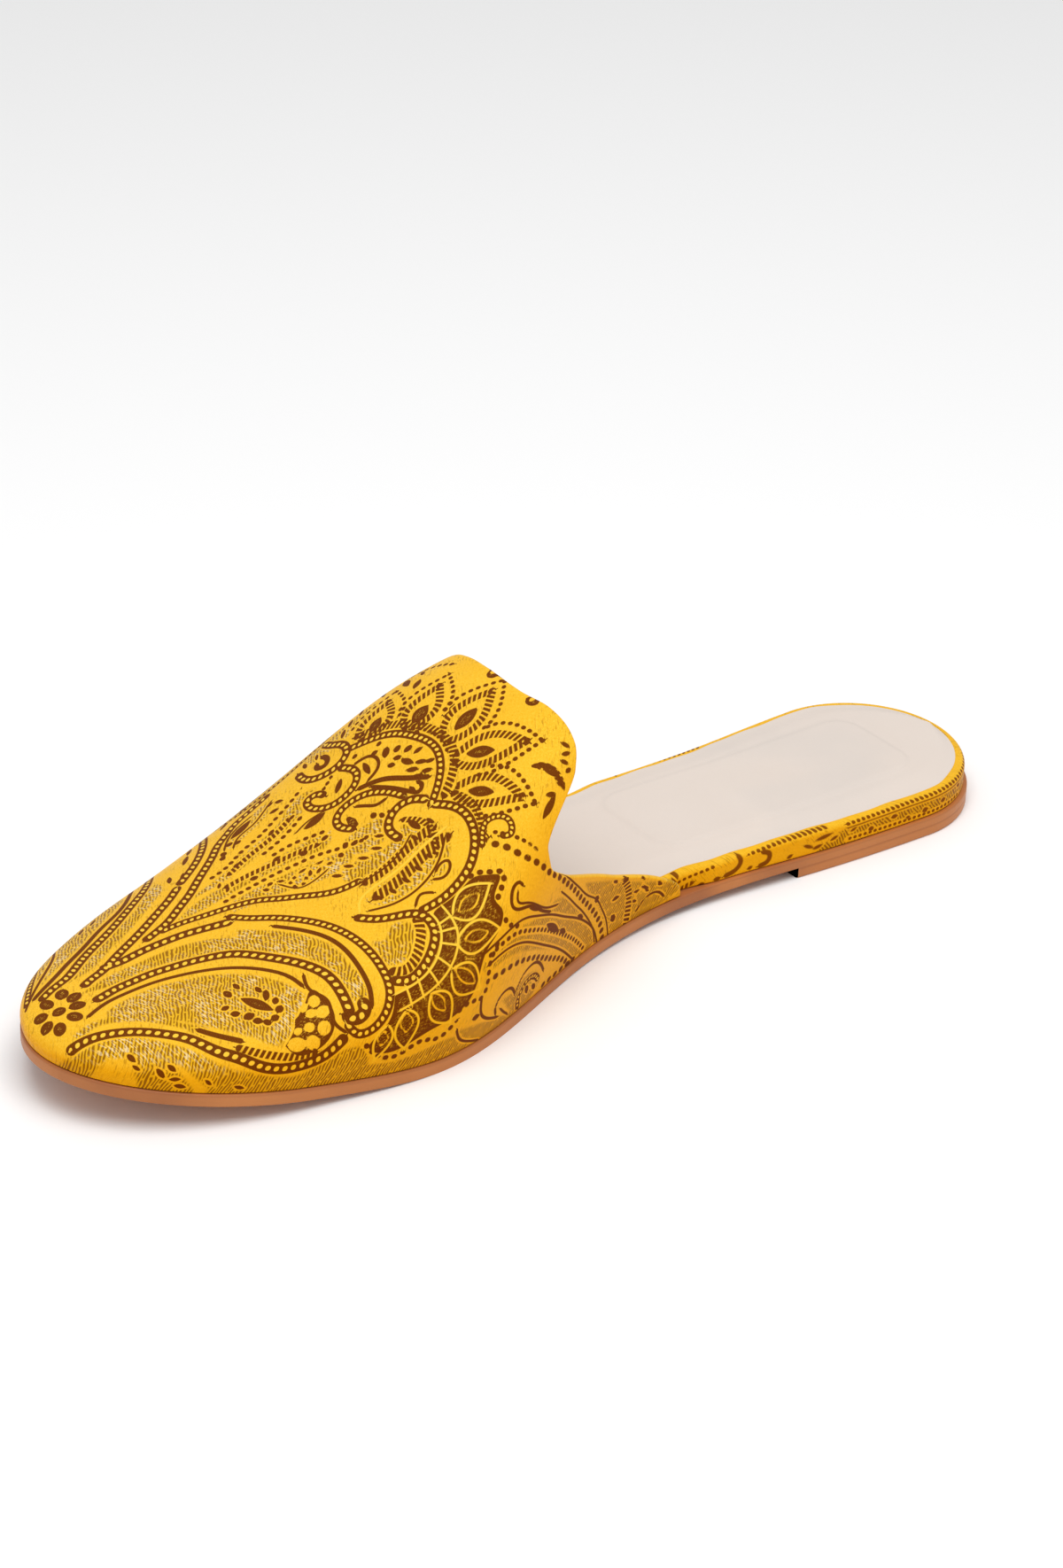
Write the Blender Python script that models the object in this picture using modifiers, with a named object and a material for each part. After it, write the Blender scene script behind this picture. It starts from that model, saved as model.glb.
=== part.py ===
"""Backless flat slipper for the right foot: a one-piece vamp on a thin flat sole.

Metres, +Z up. X runs from the heel to the toe and +Y is the inner side of the foot.
The shoe stands on its heel lift and its tread, with the origin on the ground under
the middle of its box. Places along the shoe are shares of LENGTH, heel 0 to toe 1.
"""

import math
from typing import Callable, NamedTuple

import bmesh
import bpy
import numpy as np
from mathutils import Vector

MM = 0.001

# Driving sizes
LENGTH = 255.0 * MM
HEEL_WIDTH = 53.0 * MM
WAIST_WIDTH = 49.0 * MM
BALL_WIDTH = 85.4 * MM
TOE_WIDTH = 68.0 * MM
TOE_SWING = 4.8 * MM
TOE_SPRING = 9.75 * MM
LIFT_HEIGHT = 2.4 * MM
OUTSOLE_THICKNESS = 2.8 * MM
FOOTBED_AT_HEEL = 5.0 * MM
FOOTBED_AT_BALL = 3.2 * MM
INSOLE_THICKNESS = 1.0 * MM
VAMP_WALL = 1.6 * MM
INSTEP_HEIGHT = 56.8 * MM
TOE_BOX_HEIGHT = 12.0 * MM
CROWN_LEAN = 6.0 * MM
RIDGE_OFFSET = 5.5 * MM
NOSE_OVERHANG = 0.85 * MM
NOSE_HEIGHT = 10.0 * MM

# Clearances and setbacks, measured in from the edge of the outsole
GAP = 0.3 * MM
LIFT_INSET = 0.3 * MM
VAMP_INSET = 0.4 * MM
WRAP_INSET = 0.8 * MM
INSOLE_SETBACK = 1.4 * MM
INSOLE_TOE_SETBACK = 3.0 * MM

# Rounded edges
SOLE_EDGE = 0.5 * MM
WRAP_ROUND = 1.5 * MM
INSOLE_ROUND = 0.3 * MM

# Places along the shoe, as shares of LENGTH
BREAST_SHARE = 0.250
HEEL_ROUND_SHARE = 0.10
TOE_ROUND_SHARE = 0.18
NOSE_ROUND_SHARE = 0.085
SHANK_FROM_SHARE, SHANK_TO_SHARE = 0.24, 0.60
SPRING_FROM_SHARE = 0.70
TAPER_FROM_SHARE, TAPER_TO_SHARE = 0.25, 0.55
TUCK_FROM_SHARE, TUCK_TO_SHARE = 0.33, 0.37
INSOLE_TOE_FROM_SHARE = 0.85

# Powers of the rounded ends
HEEL_POWER = 2.0
TOE_POWER = 2.2
NOSE_POWER = 3.0
SPRING_POWER = 1.5

# Mesh density and finish
OUTLINE_STEPS = 48
VAMP_ROWS = 30
VAMP_COLUMNS = 25
SLOPE_STEP_SHARE = 0.01
SAME_POINT = 0.0003 * MM
SHARP_ANGLE = math.radians(35.0)
TAN = (0.56, 0.25, 0.10)
BROCADE = (0.78, 0.45, 0.03)
CREAM = (0.79, 0.72, 0.65)


class OutlineRow(NamedTuple):
    """One station of the sole's plan, before its two ends are rounded off."""

    along: float
    width: float  # the named width that the station follows
    share: float  # how much of that width is there
    swing: float  # how much of TOE_SWING its middle lies toward the inner side


OUTLINE = (
    OutlineRow(0.00, HEEL_WIDTH, 1.000, 0.00),
    OutlineRow(0.14, HEEL_WIDTH, 0.980, 0.02),
    OutlineRow(0.26, HEEL_WIDTH, 0.915, -0.08),
    OutlineRow(0.38, WAIST_WIDTH, 1.010, -0.66),
    OutlineRow(0.50, BALL_WIDTH, 0.705, -0.70),
    OutlineRow(0.60, BALL_WIDTH, 0.895, -0.28),
    OutlineRow(0.68, BALL_WIDTH, 1.000, 0.06),
    OutlineRow(0.78, BALL_WIDTH, 0.935, 0.34),
    OutlineRow(0.88, TOE_WIDTH, 1.015, 0.66),
    OutlineRow(1.00, TOE_WIDTH, 0.860, 1.16),
)


class VampRow(NamedTuple):
    """One cross-section of the vamp, from its crown down to the feather line."""

    along: float
    height: float  # the named height that the crown follows
    share: float  # how much of that height is there
    crown: float  # how squarely the top rolls over, 0.55 for an ellipse
    side: float  # how squarely the side comes down
    bulge: float  # how far the side swells past the feather line, in half widths
    lean: float  # how much of CROWN_LEAN and RIDGE_OFFSET the crown lies toward the inner side


VAMP = (
    VampRow(0.36, INSTEP_HEIGHT, 1.245, 0.88, 0.85, 0.20, 1.00),
    VampRow(0.46, INSTEP_HEIGHT, 1.125, 0.90, 0.85, 0.22, 1.03),
    VampRow(0.56, INSTEP_HEIGHT, 0.970, 0.89, 0.85, 0.20, 0.93),
    VampRow(0.66, INSTEP_HEIGHT, 0.645, 0.82, 0.85, 0.12, 0.60),
    VampRow(0.76, INSTEP_HEIGHT, 0.425, 0.80, 0.82, 0.08, 0.37),
    VampRow(0.86, TOE_BOX_HEIGHT, 1.300, 0.76, 0.80, 0.06, 0.20),
    VampRow(0.94, TOE_BOX_HEIGHT, 0.920, 0.72, 0.80, 0.05, 0.10),
    VampRow(1.00, TOE_BOX_HEIGHT, 0.790, 0.70, 0.80, 0.05, 0.00),
)


class ToplineRow(NamedTuple):
    """Where the vamp is cut, going round from its crown (0) to the feather line (1)."""

    around: float
    inner: float  # place along the shoe on the inner side
    outer: float  # place along the shoe on the outer side


TOPLINE = (
    ToplineRow(0.000, 0.524, 0.524),
    ToplineRow(0.150, 0.520, 0.520),
    ToplineRow(0.270, 0.519, 0.515),
    ToplineRow(0.360, 0.520, 0.512),
    ToplineRow(0.460, 0.529, 0.530),
    ToplineRow(0.600, 0.575, 0.575),
    ToplineRow(0.670, 0.573, 0.573),
    ToplineRow(0.757, 0.551, 0.551),
    ToplineRow(0.885, 0.473, 0.473),
    ToplineRow(0.960, 0.400, 0.400),
    ToplineRow(0.985, 0.380, 0.380),
    ToplineRow(1.000, 0.377, 0.377),
)


class Level(NamedTuple):
    """One outline in the stack that makes a flat piece."""

    inset: float  # how far it lies inside the piece's own edge
    height: float  # how far up the piece's thickness, 0 under and 1 on top
    lift: float = 0.0  # a fixed distance added to that height


def smooth_curve(knots: list[float], values: list[float]) -> Callable:
    """A natural cubic curve through a table's column."""
    x = np.array(knots)
    y = np.array(values)
    step = np.diff(x)
    slope = np.diff(y) / step
    matrix = np.eye(len(x))
    target = np.zeros(len(x))
    for i in range(1, len(x) - 1):
        matrix[i, i - 1 : i + 2] = step[i - 1], 2.0 * (step[i - 1] + step[i]), step[i]
        target[i] = 6.0 * (slope[i] - slope[i - 1])
    bend = np.linalg.solve(matrix, target)

    def at(place: float) -> float:
        i = min(max(int(np.searchsorted(x, place)) - 1, 0), len(step) - 1)
        near = place - x[i]
        far = x[i + 1] - place
        curve = (bend[i] * far**3 + bend[i + 1] * near**3) / (6.0 * step[i])
        start = (y[i] / step[i] - bend[i] * step[i] / 6.0) * far
        end = (y[i + 1] / step[i] - bend[i + 1] * step[i] / 6.0) * near
        return float(curve + start + end)

    return at


def ease(place: float, start: float, end: float) -> float:
    """0 before start, 1 after end and a smooth step between them."""
    share = min(max((place - start) / (end - start), 0.0), 1.0)
    return share * share * (3.0 - 2.0 * share)


def column(rows: tuple, value: Callable) -> Callable:
    """A smooth curve along the shoe through one value of each row."""
    return smooth_curve([row[0] for row in rows], [value(row) for row in rows])


outline_half = column(OUTLINE, lambda row: row.width * row.share / 2.0)
outline_middle = column(OUTLINE, lambda row: TOE_SWING * row.swing)
vamp_height = column(VAMP, lambda row: row.height * row.share)
vamp_crown = column(VAMP, lambda row: row.crown)
vamp_side = column(VAMP, lambda row: row.side)
vamp_bulge = column(VAMP, lambda row: row.bulge)
vamp_lean = column(VAMP, lambda row: CROWN_LEAN * row.lean)
vamp_ridge = column(VAMP, lambda row: RIDGE_OFFSET * row.lean)


def topline_at(around: float, inner: bool) -> float:
    """Place along the shoe where the vamp starts, on a smooth line that never passes its rows."""
    rows = TOPLINE
    last = len(rows) - 2
    i = min(sum(row.around <= around for row in rows) - 1, last)
    ends = [row.inner if inner else row.outer for row in rows]
    widths = [rows[k + 1].around - rows[k].around for k in range(last + 1)]
    slopes = [(ends[k + 1] - ends[k]) / widths[k] for k in range(last + 1)]

    def tangent(k: int) -> float:
        if k in (0, last + 1) or slopes[k - 1] * slopes[k] <= 0.0:
            return 0.0
        return 2.0 * slopes[k - 1] * slopes[k] / (slopes[k - 1] + slopes[k])

    t = (around - rows[i].around) / widths[i]
    rise = (3.0 - 2.0 * t) * t * t
    leave = t * (1.0 - t) ** 2 * widths[i] * tangent(i)
    arrive = t * t * (t - 1.0) * widths[i] * tangent(i + 1)
    return ends[i] + (ends[i + 1] - ends[i]) * rise + leave + arrive


def rounded_end(past: float, power: float) -> float:
    """Share of the width left at a place that lies this share into a rounded end."""
    return math.sqrt(max(1.0 - min(max(past, 0.0), 1.0) ** power, 0.0))


def end_rounding(along: float) -> float:
    """How much of the width the rounded heel and toe leave."""
    heel = rounded_end((HEEL_ROUND_SHARE - along) / HEEL_ROUND_SHARE, HEEL_POWER)
    toe = rounded_end((along - 1.0 + TOE_ROUND_SHARE) / TOE_ROUND_SHARE, TOE_POWER)
    return heel * toe


def ground_height(along: float) -> float:
    """Underside of the outsole: up on the lift, down on the tread, up at the toe."""
    heel = (LIFT_HEIGHT + GAP) * (1.0 - ease(along, SHANK_FROM_SHARE, SHANK_TO_SHARE))
    toe = max((along - SPRING_FROM_SHARE) / (1.0 - SPRING_FROM_SHARE), 0.0)
    return heel + TOE_SPRING * toe**SPRING_POWER


def feather_height(along: float) -> float:
    """Plane just above the outsole, where the footbed and the vamp stand."""
    return ground_height(along) + OUTSOLE_THICKNESS + GAP


def footbed_thickness(along: float) -> float:
    """The wrapped board is thicker under the heel than under the ball."""
    fall = ease(along, TAPER_FROM_SHARE, TAPER_TO_SHARE)
    return FOOTBED_AT_HEEL + (FOOTBED_AT_BALL - FOOTBED_AT_HEEL) * fall


def footbed_inset(along: float) -> float:
    """The wrapped edge shows behind the vamp and tucks inside its wall in front."""
    inside = VAMP_INSET + VAMP_WALL + GAP
    return WRAP_INSET + (inside - WRAP_INSET) * ease(along, TUCK_FROM_SHARE, TUCK_TO_SHARE)


def insole_inset(along: float) -> float:
    """The sock follows the footbed's edge and stops short under the nose."""
    short = INSOLE_TOE_SETBACK * ease(along, INSOLE_TOE_FROM_SHARE, 1.0)
    return footbed_inset(along) + INSOLE_SETBACK + short


def slant(along: float, side: float) -> float:
    """How much longer an inset is across the shoe than square to its slanting edge."""
    near = max(along - SLOPE_STEP_SHARE, 0.0)
    far = min(along + SLOPE_STEP_SHARE, 1.0)
    shift = outline_middle(far) - outline_middle(near)
    spread = outline_half(far) - outline_half(near)
    return math.hypot(1.0, (shift + side * spread) / (LENGTH * (far - near)))


def half_width(along: float, inset: float, side: float) -> float:
    """Middle of the sole to its edge, moved in by inset; side is 1 inner or -1 outer."""
    return end_rounding(along) * (outline_half(along) - inset * slant(along, side))


def plan_point(along: float, inset: float, side: float) -> tuple[float, float]:
    """X and Y on the edge of the sole, moved in by inset."""
    x = inset + along * (LENGTH - 2.0 * inset)
    return x, outline_middle(along) + side * half_width(along, inset, side)


def stations(start: float, end: float, steps: int) -> list[float]:
    """Places that crowd toward both ends, where the outline turns fastest."""
    turn = [(1.0 - math.cos(math.pi * i / steps)) / 2.0 for i in range(steps + 1)]
    return [start + (end - start) * share for share in turn]


def new_object(name: str, mesh: bpy.types.Mesh, parent, collection, finish) -> bpy.types.Object:
    """Link a mesh as one named piece with its own material."""
    piece = bpy.data.objects.new(name, mesh)
    piece.data.materials.append(finish)
    piece.parent = parent
    collection.objects.link(piece)
    return piece


def stacked_piece(
    name: str,
    places: list[float],
    inset: Callable,
    bottom: Callable,
    thickness: Callable,
    levels: tuple[Level, ...],
) -> bpy.types.Mesh:
    """Closed solid of a flat piece: outlines stacked up, and strips across its faces."""
    solid = bmesh.new()
    sides = []
    for level in levels:
        pair = []
        for side in (1.0, -1.0):
            row = []
            for along in places:
                x, y = plan_point(along, inset(along) + level.inset, side)
                z = bottom(along) + thickness(along) * level.height + level.lift
                row.append((x, y, z))
            pair.append(row)
        left = [solid.verts.new(point) for point in pair[0]]
        right = []
        for own, point, other in zip(left, pair[1], pair[0]):
            meets = (Vector(point) - Vector(other)).length < SAME_POINT
            right.append(own if meets else solid.verts.new(point))
        sides.append((left, right))
    loops = []
    for left, right in sides:
        loop = left + right[::-1]
        loops.append([vert for i, vert in enumerate(loop) if vert is not loop[i - 1]])
    for low, high in zip(loops, loops[1:]):
        for i in range(len(low)):
            solid.faces.new((low[i - 1], low[i], high[i], high[i - 1]))
    for left, right in (sides[0], sides[-1]):
        for i in range(1, len(left)):
            corners = [left[i - 1], left[i], right[i], right[i - 1]]
            face = [vert for k, vert in enumerate(corners) if vert is not corners[k - 1]]
            solid.faces.new(face)
    bmesh.ops.recalc_face_normals(solid, faces=solid.faces)
    mesh = bpy.data.meshes.new(name)
    solid.to_mesh(mesh)
    solid.free()
    mesh.shade_smooth()
    mesh.set_sharp_from_angle(angle=SHARP_ANGLE)
    return mesh


def vamp_point(along: float, around: float, side: float) -> Vector:
    """A point of the vamp's outer face, around 0 at the crown to 1 at the feather line."""
    x = VAMP_INSET + along * (LENGTH - 2.0 * VAMP_INSET)
    middle = outline_middle(along)
    half = half_width(along, VAMP_INSET, side)
    nose = rounded_end((along - 1.0 + NOSE_ROUND_SHARE) / NOSE_ROUND_SHARE, NOSE_POWER)
    up = 1.0 - around
    crown = up**3 + 3.0 * around * up * up
    top = 3.0 * around * up * up
    flank = 3.0 * around * around * up
    rise = vamp_height(along) * nose * (crown + flank * vamp_side(along))
    reach = top * vamp_crown(along) + flank * (1.0 + vamp_bulge(along)) + around**3
    lean = vamp_lean(along) * nose * (crown + flank * vamp_side(along))
    ridge = vamp_ridge(along) * nose * (1.0 - reach)
    nearness = min(max((along - 1.0 + NOSE_ROUND_SHARE) / NOSE_ROUND_SHARE, 0.0), 1.0)
    part_up = min(rise / NOSE_HEIGHT, 1.0)
    overhang = NOSE_OVERHANG * 4.0 * part_up * (1.0 - part_up) * nearness
    y = middle + lean + ridge + side * half * reach
    return Vector((x + overhang, y, feather_height(along) + rise))


def vamp_mesh(name: str) -> bpy.types.Mesh:
    """Outer face of the vamp, an open surface from its topline to the tip of the toe."""
    surface = bmesh.new()
    tip = surface.verts.new(vamp_point(1.0, 1.0, 1.0))
    turns = [i / VAMP_COLUMNS for i in range(-VAMP_COLUMNS, VAMP_COLUMNS + 1)]
    strips = []
    for turn in turns:
        around = abs(turn)
        inner = turn > 0.0
        start = topline_at(around, inner)
        strip = []
        for row in range(VAMP_ROWS):
            share = math.sin(math.pi / 2.0 * row / VAMP_ROWS)
            along = start + (1.0 - start) * share
            strip.append(surface.verts.new(vamp_point(along, around, 1.0 if inner else -1.0)))
        strips.append(strip)
    for first, second in zip(strips, strips[1:]):
        for row in range(1, VAMP_ROWS):
            surface.faces.new((first[row - 1], first[row], second[row], second[row - 1]))
        surface.faces.new((first[-1], tip, second[-1]))
    mesh = bpy.data.meshes.new(name)
    surface.to_mesh(mesh)
    surface.free()
    mesh.shade_smooth()
    return mesh


def finish_of(name: str, color: tuple[float, float, float], roughness: float) -> bpy.types.Material:
    """A plain non-metallic material."""
    material = bpy.data.materials.new(name)
    material.use_nodes = True
    shader = material.node_tree.nodes["Principled BSDF"]
    shader.inputs["Base Color"].default_value = (*color, 1.0)
    shader.inputs["Roughness"].default_value = roughness
    shader.inputs["Metallic"].default_value = 0.0
    return material


def edge_levels(under: float, over: float, thickness: float) -> tuple[Level, ...]:
    """Four outlines of a piece whose lower and upper edges are eased by these radii."""
    return (
        Level(under, 0.0),
        Level(0.0, 0.0, min(under, thickness / 3.0)),
        Level(0.0, 1.0, -min(over, thickness / 3.0)),
        Level(over, 1.0),
    )


def build_outsole() -> bpy.types.Mesh:
    """Thin sole with a low arch, a flat tread and toe spring."""
    return stacked_piece(
        "outsole",
        stations(0.0, 1.0, OUTLINE_STEPS),
        lambda along: 0.0,
        ground_height,
        lambda along: OUTSOLE_THICKNESS,
        edge_levels(SOLE_EDGE, SOLE_EDGE, OUTSOLE_THICKNESS),
    )


def build_heel_lift() -> bpy.types.Mesh:
    """Low lift under the heel, cut straight across at its breast."""
    steps = OUTLINE_STEPS // 2
    return stacked_piece(
        "heel_lift",
        [BREAST_SHARE * (1.0 - math.cos(math.pi / 2.0 * i / steps)) for i in range(steps + 1)],
        lambda along: LIFT_INSET,
        lambda along: 0.0,
        lambda along: ground_height(along) - GAP,
        edge_levels(SOLE_EDGE, 0.0, LIFT_HEIGHT),
    )


def build_footbed() -> bpy.types.Mesh:
    """Board wrapped in the vamp's cloth, with a round upper edge."""
    lowest = min(FOOTBED_AT_HEEL, FOOTBED_AT_BALL)
    turn = min(WRAP_ROUND, lowest / 2.0)
    half_way = turn * (1.0 - math.sqrt(0.5))
    levels = (
        Level(SOLE_EDGE, 0.0),
        Level(0.0, 0.0, SOLE_EDGE),
        Level(0.0, 1.0, -turn),
        Level(half_way, 1.0, -half_way),
        Level(turn, 1.0),
    )
    return stacked_piece(
        "footbed",
        stations(0.0, 1.0, OUTLINE_STEPS),
        footbed_inset,
        feather_height,
        footbed_thickness,
        levels,
    )


def build_insole() -> bpy.types.Mesh:
    """Thin sock on the footbed, set in from its edge."""
    return stacked_piece(
        "insole",
        stations(0.0, 1.0, OUTLINE_STEPS),
        insole_inset,
        lambda along: feather_height(along) + footbed_thickness(along) + GAP,
        lambda along: INSOLE_THICKNESS,
        edge_levels(0.0, INSOLE_ROUND, INSOLE_THICKNESS),
    )


def add_wall(piece: bpy.types.Object, thickness: float) -> None:
    """Give an open surface its wall, going inward from the outer face."""
    wall = piece.modifiers.new("wall", "SOLIDIFY")
    wall.thickness = thickness
    wall.offset = -1.0
    wall.use_rim = True
    wall.use_even_offset = True
    wall.use_quality_normals = True


def stand_on_origin(pieces: list[bpy.types.Object], base: bpy.types.Object) -> None:
    """Move the shoe so that the middle of its box is over the origin."""
    bpy.context.view_layer.update()
    corners = [piece.matrix_world @ Vector(corner) for piece in pieces for corner in piece.bound_box]
    low = Vector([min(corner[axis] for corner in corners) for axis in range(3)])
    high = Vector([max(corner[axis] for corner in corners) for axis in range(3)])
    base.location = (-(low.x + high.x) / 2.0, -(low.y + high.y) / 2.0, 0.0)


def main() -> None:
    """Build the five pieces of the slipper."""
    for obj in list(bpy.data.objects):
        bpy.data.objects.remove(obj, do_unlink=True)
    slipper = bpy.data.collections.new("babouche_slipper")
    bpy.context.scene.collection.children.link(slipper)
    base = bpy.data.objects.new("base", None)
    slipper.objects.link(base)

    pieces = [
        new_object("outsole", build_outsole(), base, slipper, finish_of("outsole_tan", TAN, 0.55)),
        new_object("heel_lift", build_heel_lift(), base, slipper, finish_of("lift_tan", TAN, 0.55)),
        new_object("footbed", build_footbed(), base, slipper, finish_of("wrap_brocade", BROCADE, 0.45)),
        new_object("insole", build_insole(), base, slipper, finish_of("sock_cream", CREAM, 0.7)),
        new_object("upper", vamp_mesh("upper"), base, slipper, finish_of("vamp_brocade", BROCADE, 0.45)),
    ]
    add_wall(pieces[-1], VAMP_WALL)
    stand_on_origin(pieces, base)


main()
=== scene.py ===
"""Dresses a backless flat slipper: brocade vamp, wrapped footbed, pale insole and tan sole.

Lengths are millimetres in the shoe's own drawing, where X runs from the heel (0) to the toe and +Y
is the inner side of the foot. Places along the shoe are shares of its length, heel 0 to toe 1. The
cloth has its own flat chart: mm back from the tip of the toe, and mm of arc round from the crown
line, inner side positive.
"""

import logging
import math
from dataclasses import dataclass
from enum import Enum
from functools import reduce
from typing import Callable, NamedTuple

import bmesh
import bpy
import numpy as np
from mathutils import Matrix, Vector


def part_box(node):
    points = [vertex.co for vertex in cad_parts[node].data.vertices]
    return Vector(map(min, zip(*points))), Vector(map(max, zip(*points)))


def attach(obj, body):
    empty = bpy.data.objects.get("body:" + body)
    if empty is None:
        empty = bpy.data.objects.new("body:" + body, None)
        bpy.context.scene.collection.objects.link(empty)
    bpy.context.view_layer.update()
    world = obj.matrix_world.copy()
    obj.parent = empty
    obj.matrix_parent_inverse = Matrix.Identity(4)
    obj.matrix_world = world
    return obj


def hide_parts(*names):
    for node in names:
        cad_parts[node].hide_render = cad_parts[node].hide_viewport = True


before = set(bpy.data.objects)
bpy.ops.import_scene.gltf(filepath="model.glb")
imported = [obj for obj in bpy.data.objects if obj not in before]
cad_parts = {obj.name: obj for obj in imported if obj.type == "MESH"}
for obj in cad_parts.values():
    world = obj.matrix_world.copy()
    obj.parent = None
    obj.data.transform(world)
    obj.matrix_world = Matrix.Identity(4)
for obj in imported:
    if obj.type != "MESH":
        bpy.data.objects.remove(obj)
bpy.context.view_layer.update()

MM = 0.001
BODY = "root"
LOG = logging.getLogger("slipper")

Curve = Callable[[np.ndarray], np.ndarray]
ChartMap = Callable[[np.ndarray], np.ndarray]
Relief = Callable[[np.ndarray, np.ndarray], np.ndarray]
Socket = bpy.types.NodeSocket


# The last: the form that the whole shoe is drawn on


class OutlineRow(NamedTuple):
    """One station of the sole's plan, before its two ends are rounded off."""

    along: float
    width: float
    swing: float


class VampRow(NamedTuple):
    """One cross-section of the vamp."""

    along: float
    height: float
    crown: float
    side: float
    bulge: float
    lean: float


class ToplineRow(NamedTuple):
    """Where the vamp is cut, going round from its crown (0) to the feather line (1)."""

    around: float
    inner: float
    outer: float


def smooth_curve(knots: list[float], values: list[float]) -> Curve:
    """A natural cubic curve through a table's column.

    Args:
        knots: Places of the rows.
        values: The column's values.

    Returns:
        A function of an array of places.
    """
    x = np.array(knots, float)
    y = np.array(values, float)
    step = np.diff(x)
    slope = np.diff(y) / step
    matrix = np.eye(len(x))
    target = np.zeros(len(x))
    for i in range(1, len(x) - 1):
        matrix[i, i - 1 : i + 2] = step[i - 1], 2.0 * (step[i - 1] + step[i]), step[i]
        target[i] = 6.0 * (slope[i] - slope[i - 1])
    bend = np.linalg.solve(matrix, target)

    def at(place: np.ndarray) -> np.ndarray:
        """The curve's value at each place.

        Args:
            place: The places.

        Returns:
            The values.
        """
        place = np.asarray(place, float)
        i = np.clip(np.searchsorted(x, place) - 1, 0, len(step) - 1)
        near = place - x[i]
        far = x[i + 1] - place
        bent = (bend[i] * far**3 + bend[i + 1] * near**3) / (6.0 * step[i])
        start = (y[i] / step[i] - bend[i] * step[i] / 6.0) * far
        end = (y[i + 1] / step[i] - bend[i + 1] * step[i] / 6.0) * near
        return bent + start + end

    return at


def ease(place: np.ndarray, start: float, end: float) -> np.ndarray:
    """0 before start, 1 after end and a smooth step between them."""
    share = np.clip((np.asarray(place, float) - start) / (end - start), 0.0, 1.0)
    return share * share * (3.0 - 2.0 * share)


def rounded_end(past: np.ndarray, power: float) -> np.ndarray:
    """Share of the width left at a place that lies this share into a rounded end."""
    return np.sqrt(np.maximum(1.0 - np.clip(past, 0.0, 1.0) ** power, 0.0))


OUTLINE = (
    OutlineRow(0.00, 53.0, 0.0),
    OutlineRow(0.14, 51.94, 0.096),
    OutlineRow(0.26, 48.495, -0.384),
    OutlineRow(0.38, 49.49, -3.168),
    OutlineRow(0.50, 60.207, -3.36),
    OutlineRow(0.60, 76.433, -1.344),
    OutlineRow(0.68, 85.4, 0.288),
    OutlineRow(0.78, 79.849, 1.632),
    OutlineRow(0.88, 69.02, 3.168),
    OutlineRow(1.00, 58.48, 5.568),
)

VAMP = (
    VampRow(0.36, 70.716, 0.88, 0.85, 0.20, 1.00),
    VampRow(0.46, 63.9, 0.90, 0.85, 0.22, 1.03),
    VampRow(0.56, 55.096, 0.89, 0.85, 0.20, 0.93),
    VampRow(0.66, 36.636, 0.82, 0.85, 0.12, 0.60),
    VampRow(0.76, 24.14, 0.80, 0.82, 0.08, 0.37),
    VampRow(0.86, 15.6, 0.76, 0.80, 0.06, 0.20),
    VampRow(0.94, 11.04, 0.72, 0.80, 0.05, 0.10),
    VampRow(1.00, 9.48, 0.70, 0.80, 0.05, 0.00),
)

TOPLINE = (
    ToplineRow(0.000, 0.524, 0.524),
    ToplineRow(0.150, 0.520, 0.520),
    ToplineRow(0.270, 0.519, 0.515),
    ToplineRow(0.360, 0.520, 0.512),
    ToplineRow(0.460, 0.529, 0.530),
    ToplineRow(0.600, 0.575, 0.575),
    ToplineRow(0.670, 0.573, 0.573),
    ToplineRow(0.757, 0.551, 0.551),
    ToplineRow(0.885, 0.473, 0.473),
    ToplineRow(0.960, 0.400, 0.400),
    ToplineRow(0.985, 0.380, 0.380),
    ToplineRow(1.000, 0.377, 0.377),
)


def column(rows: tuple, index: int, share: float = 1.0) -> Curve:
    """A smooth curve along the shoe through one column of a table."""
    return smooth_curve([row.along for row in rows], [row[index] * share for row in rows])


SLANT_STEP = 0.01
OUTLINE_HALF = column(OUTLINE, 1, 0.5)
OUTLINE_MIDDLE = column(OUTLINE, 2)
VAMP_CURVES = tuple(column(VAMP, index) for index in range(1, 6))


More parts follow.
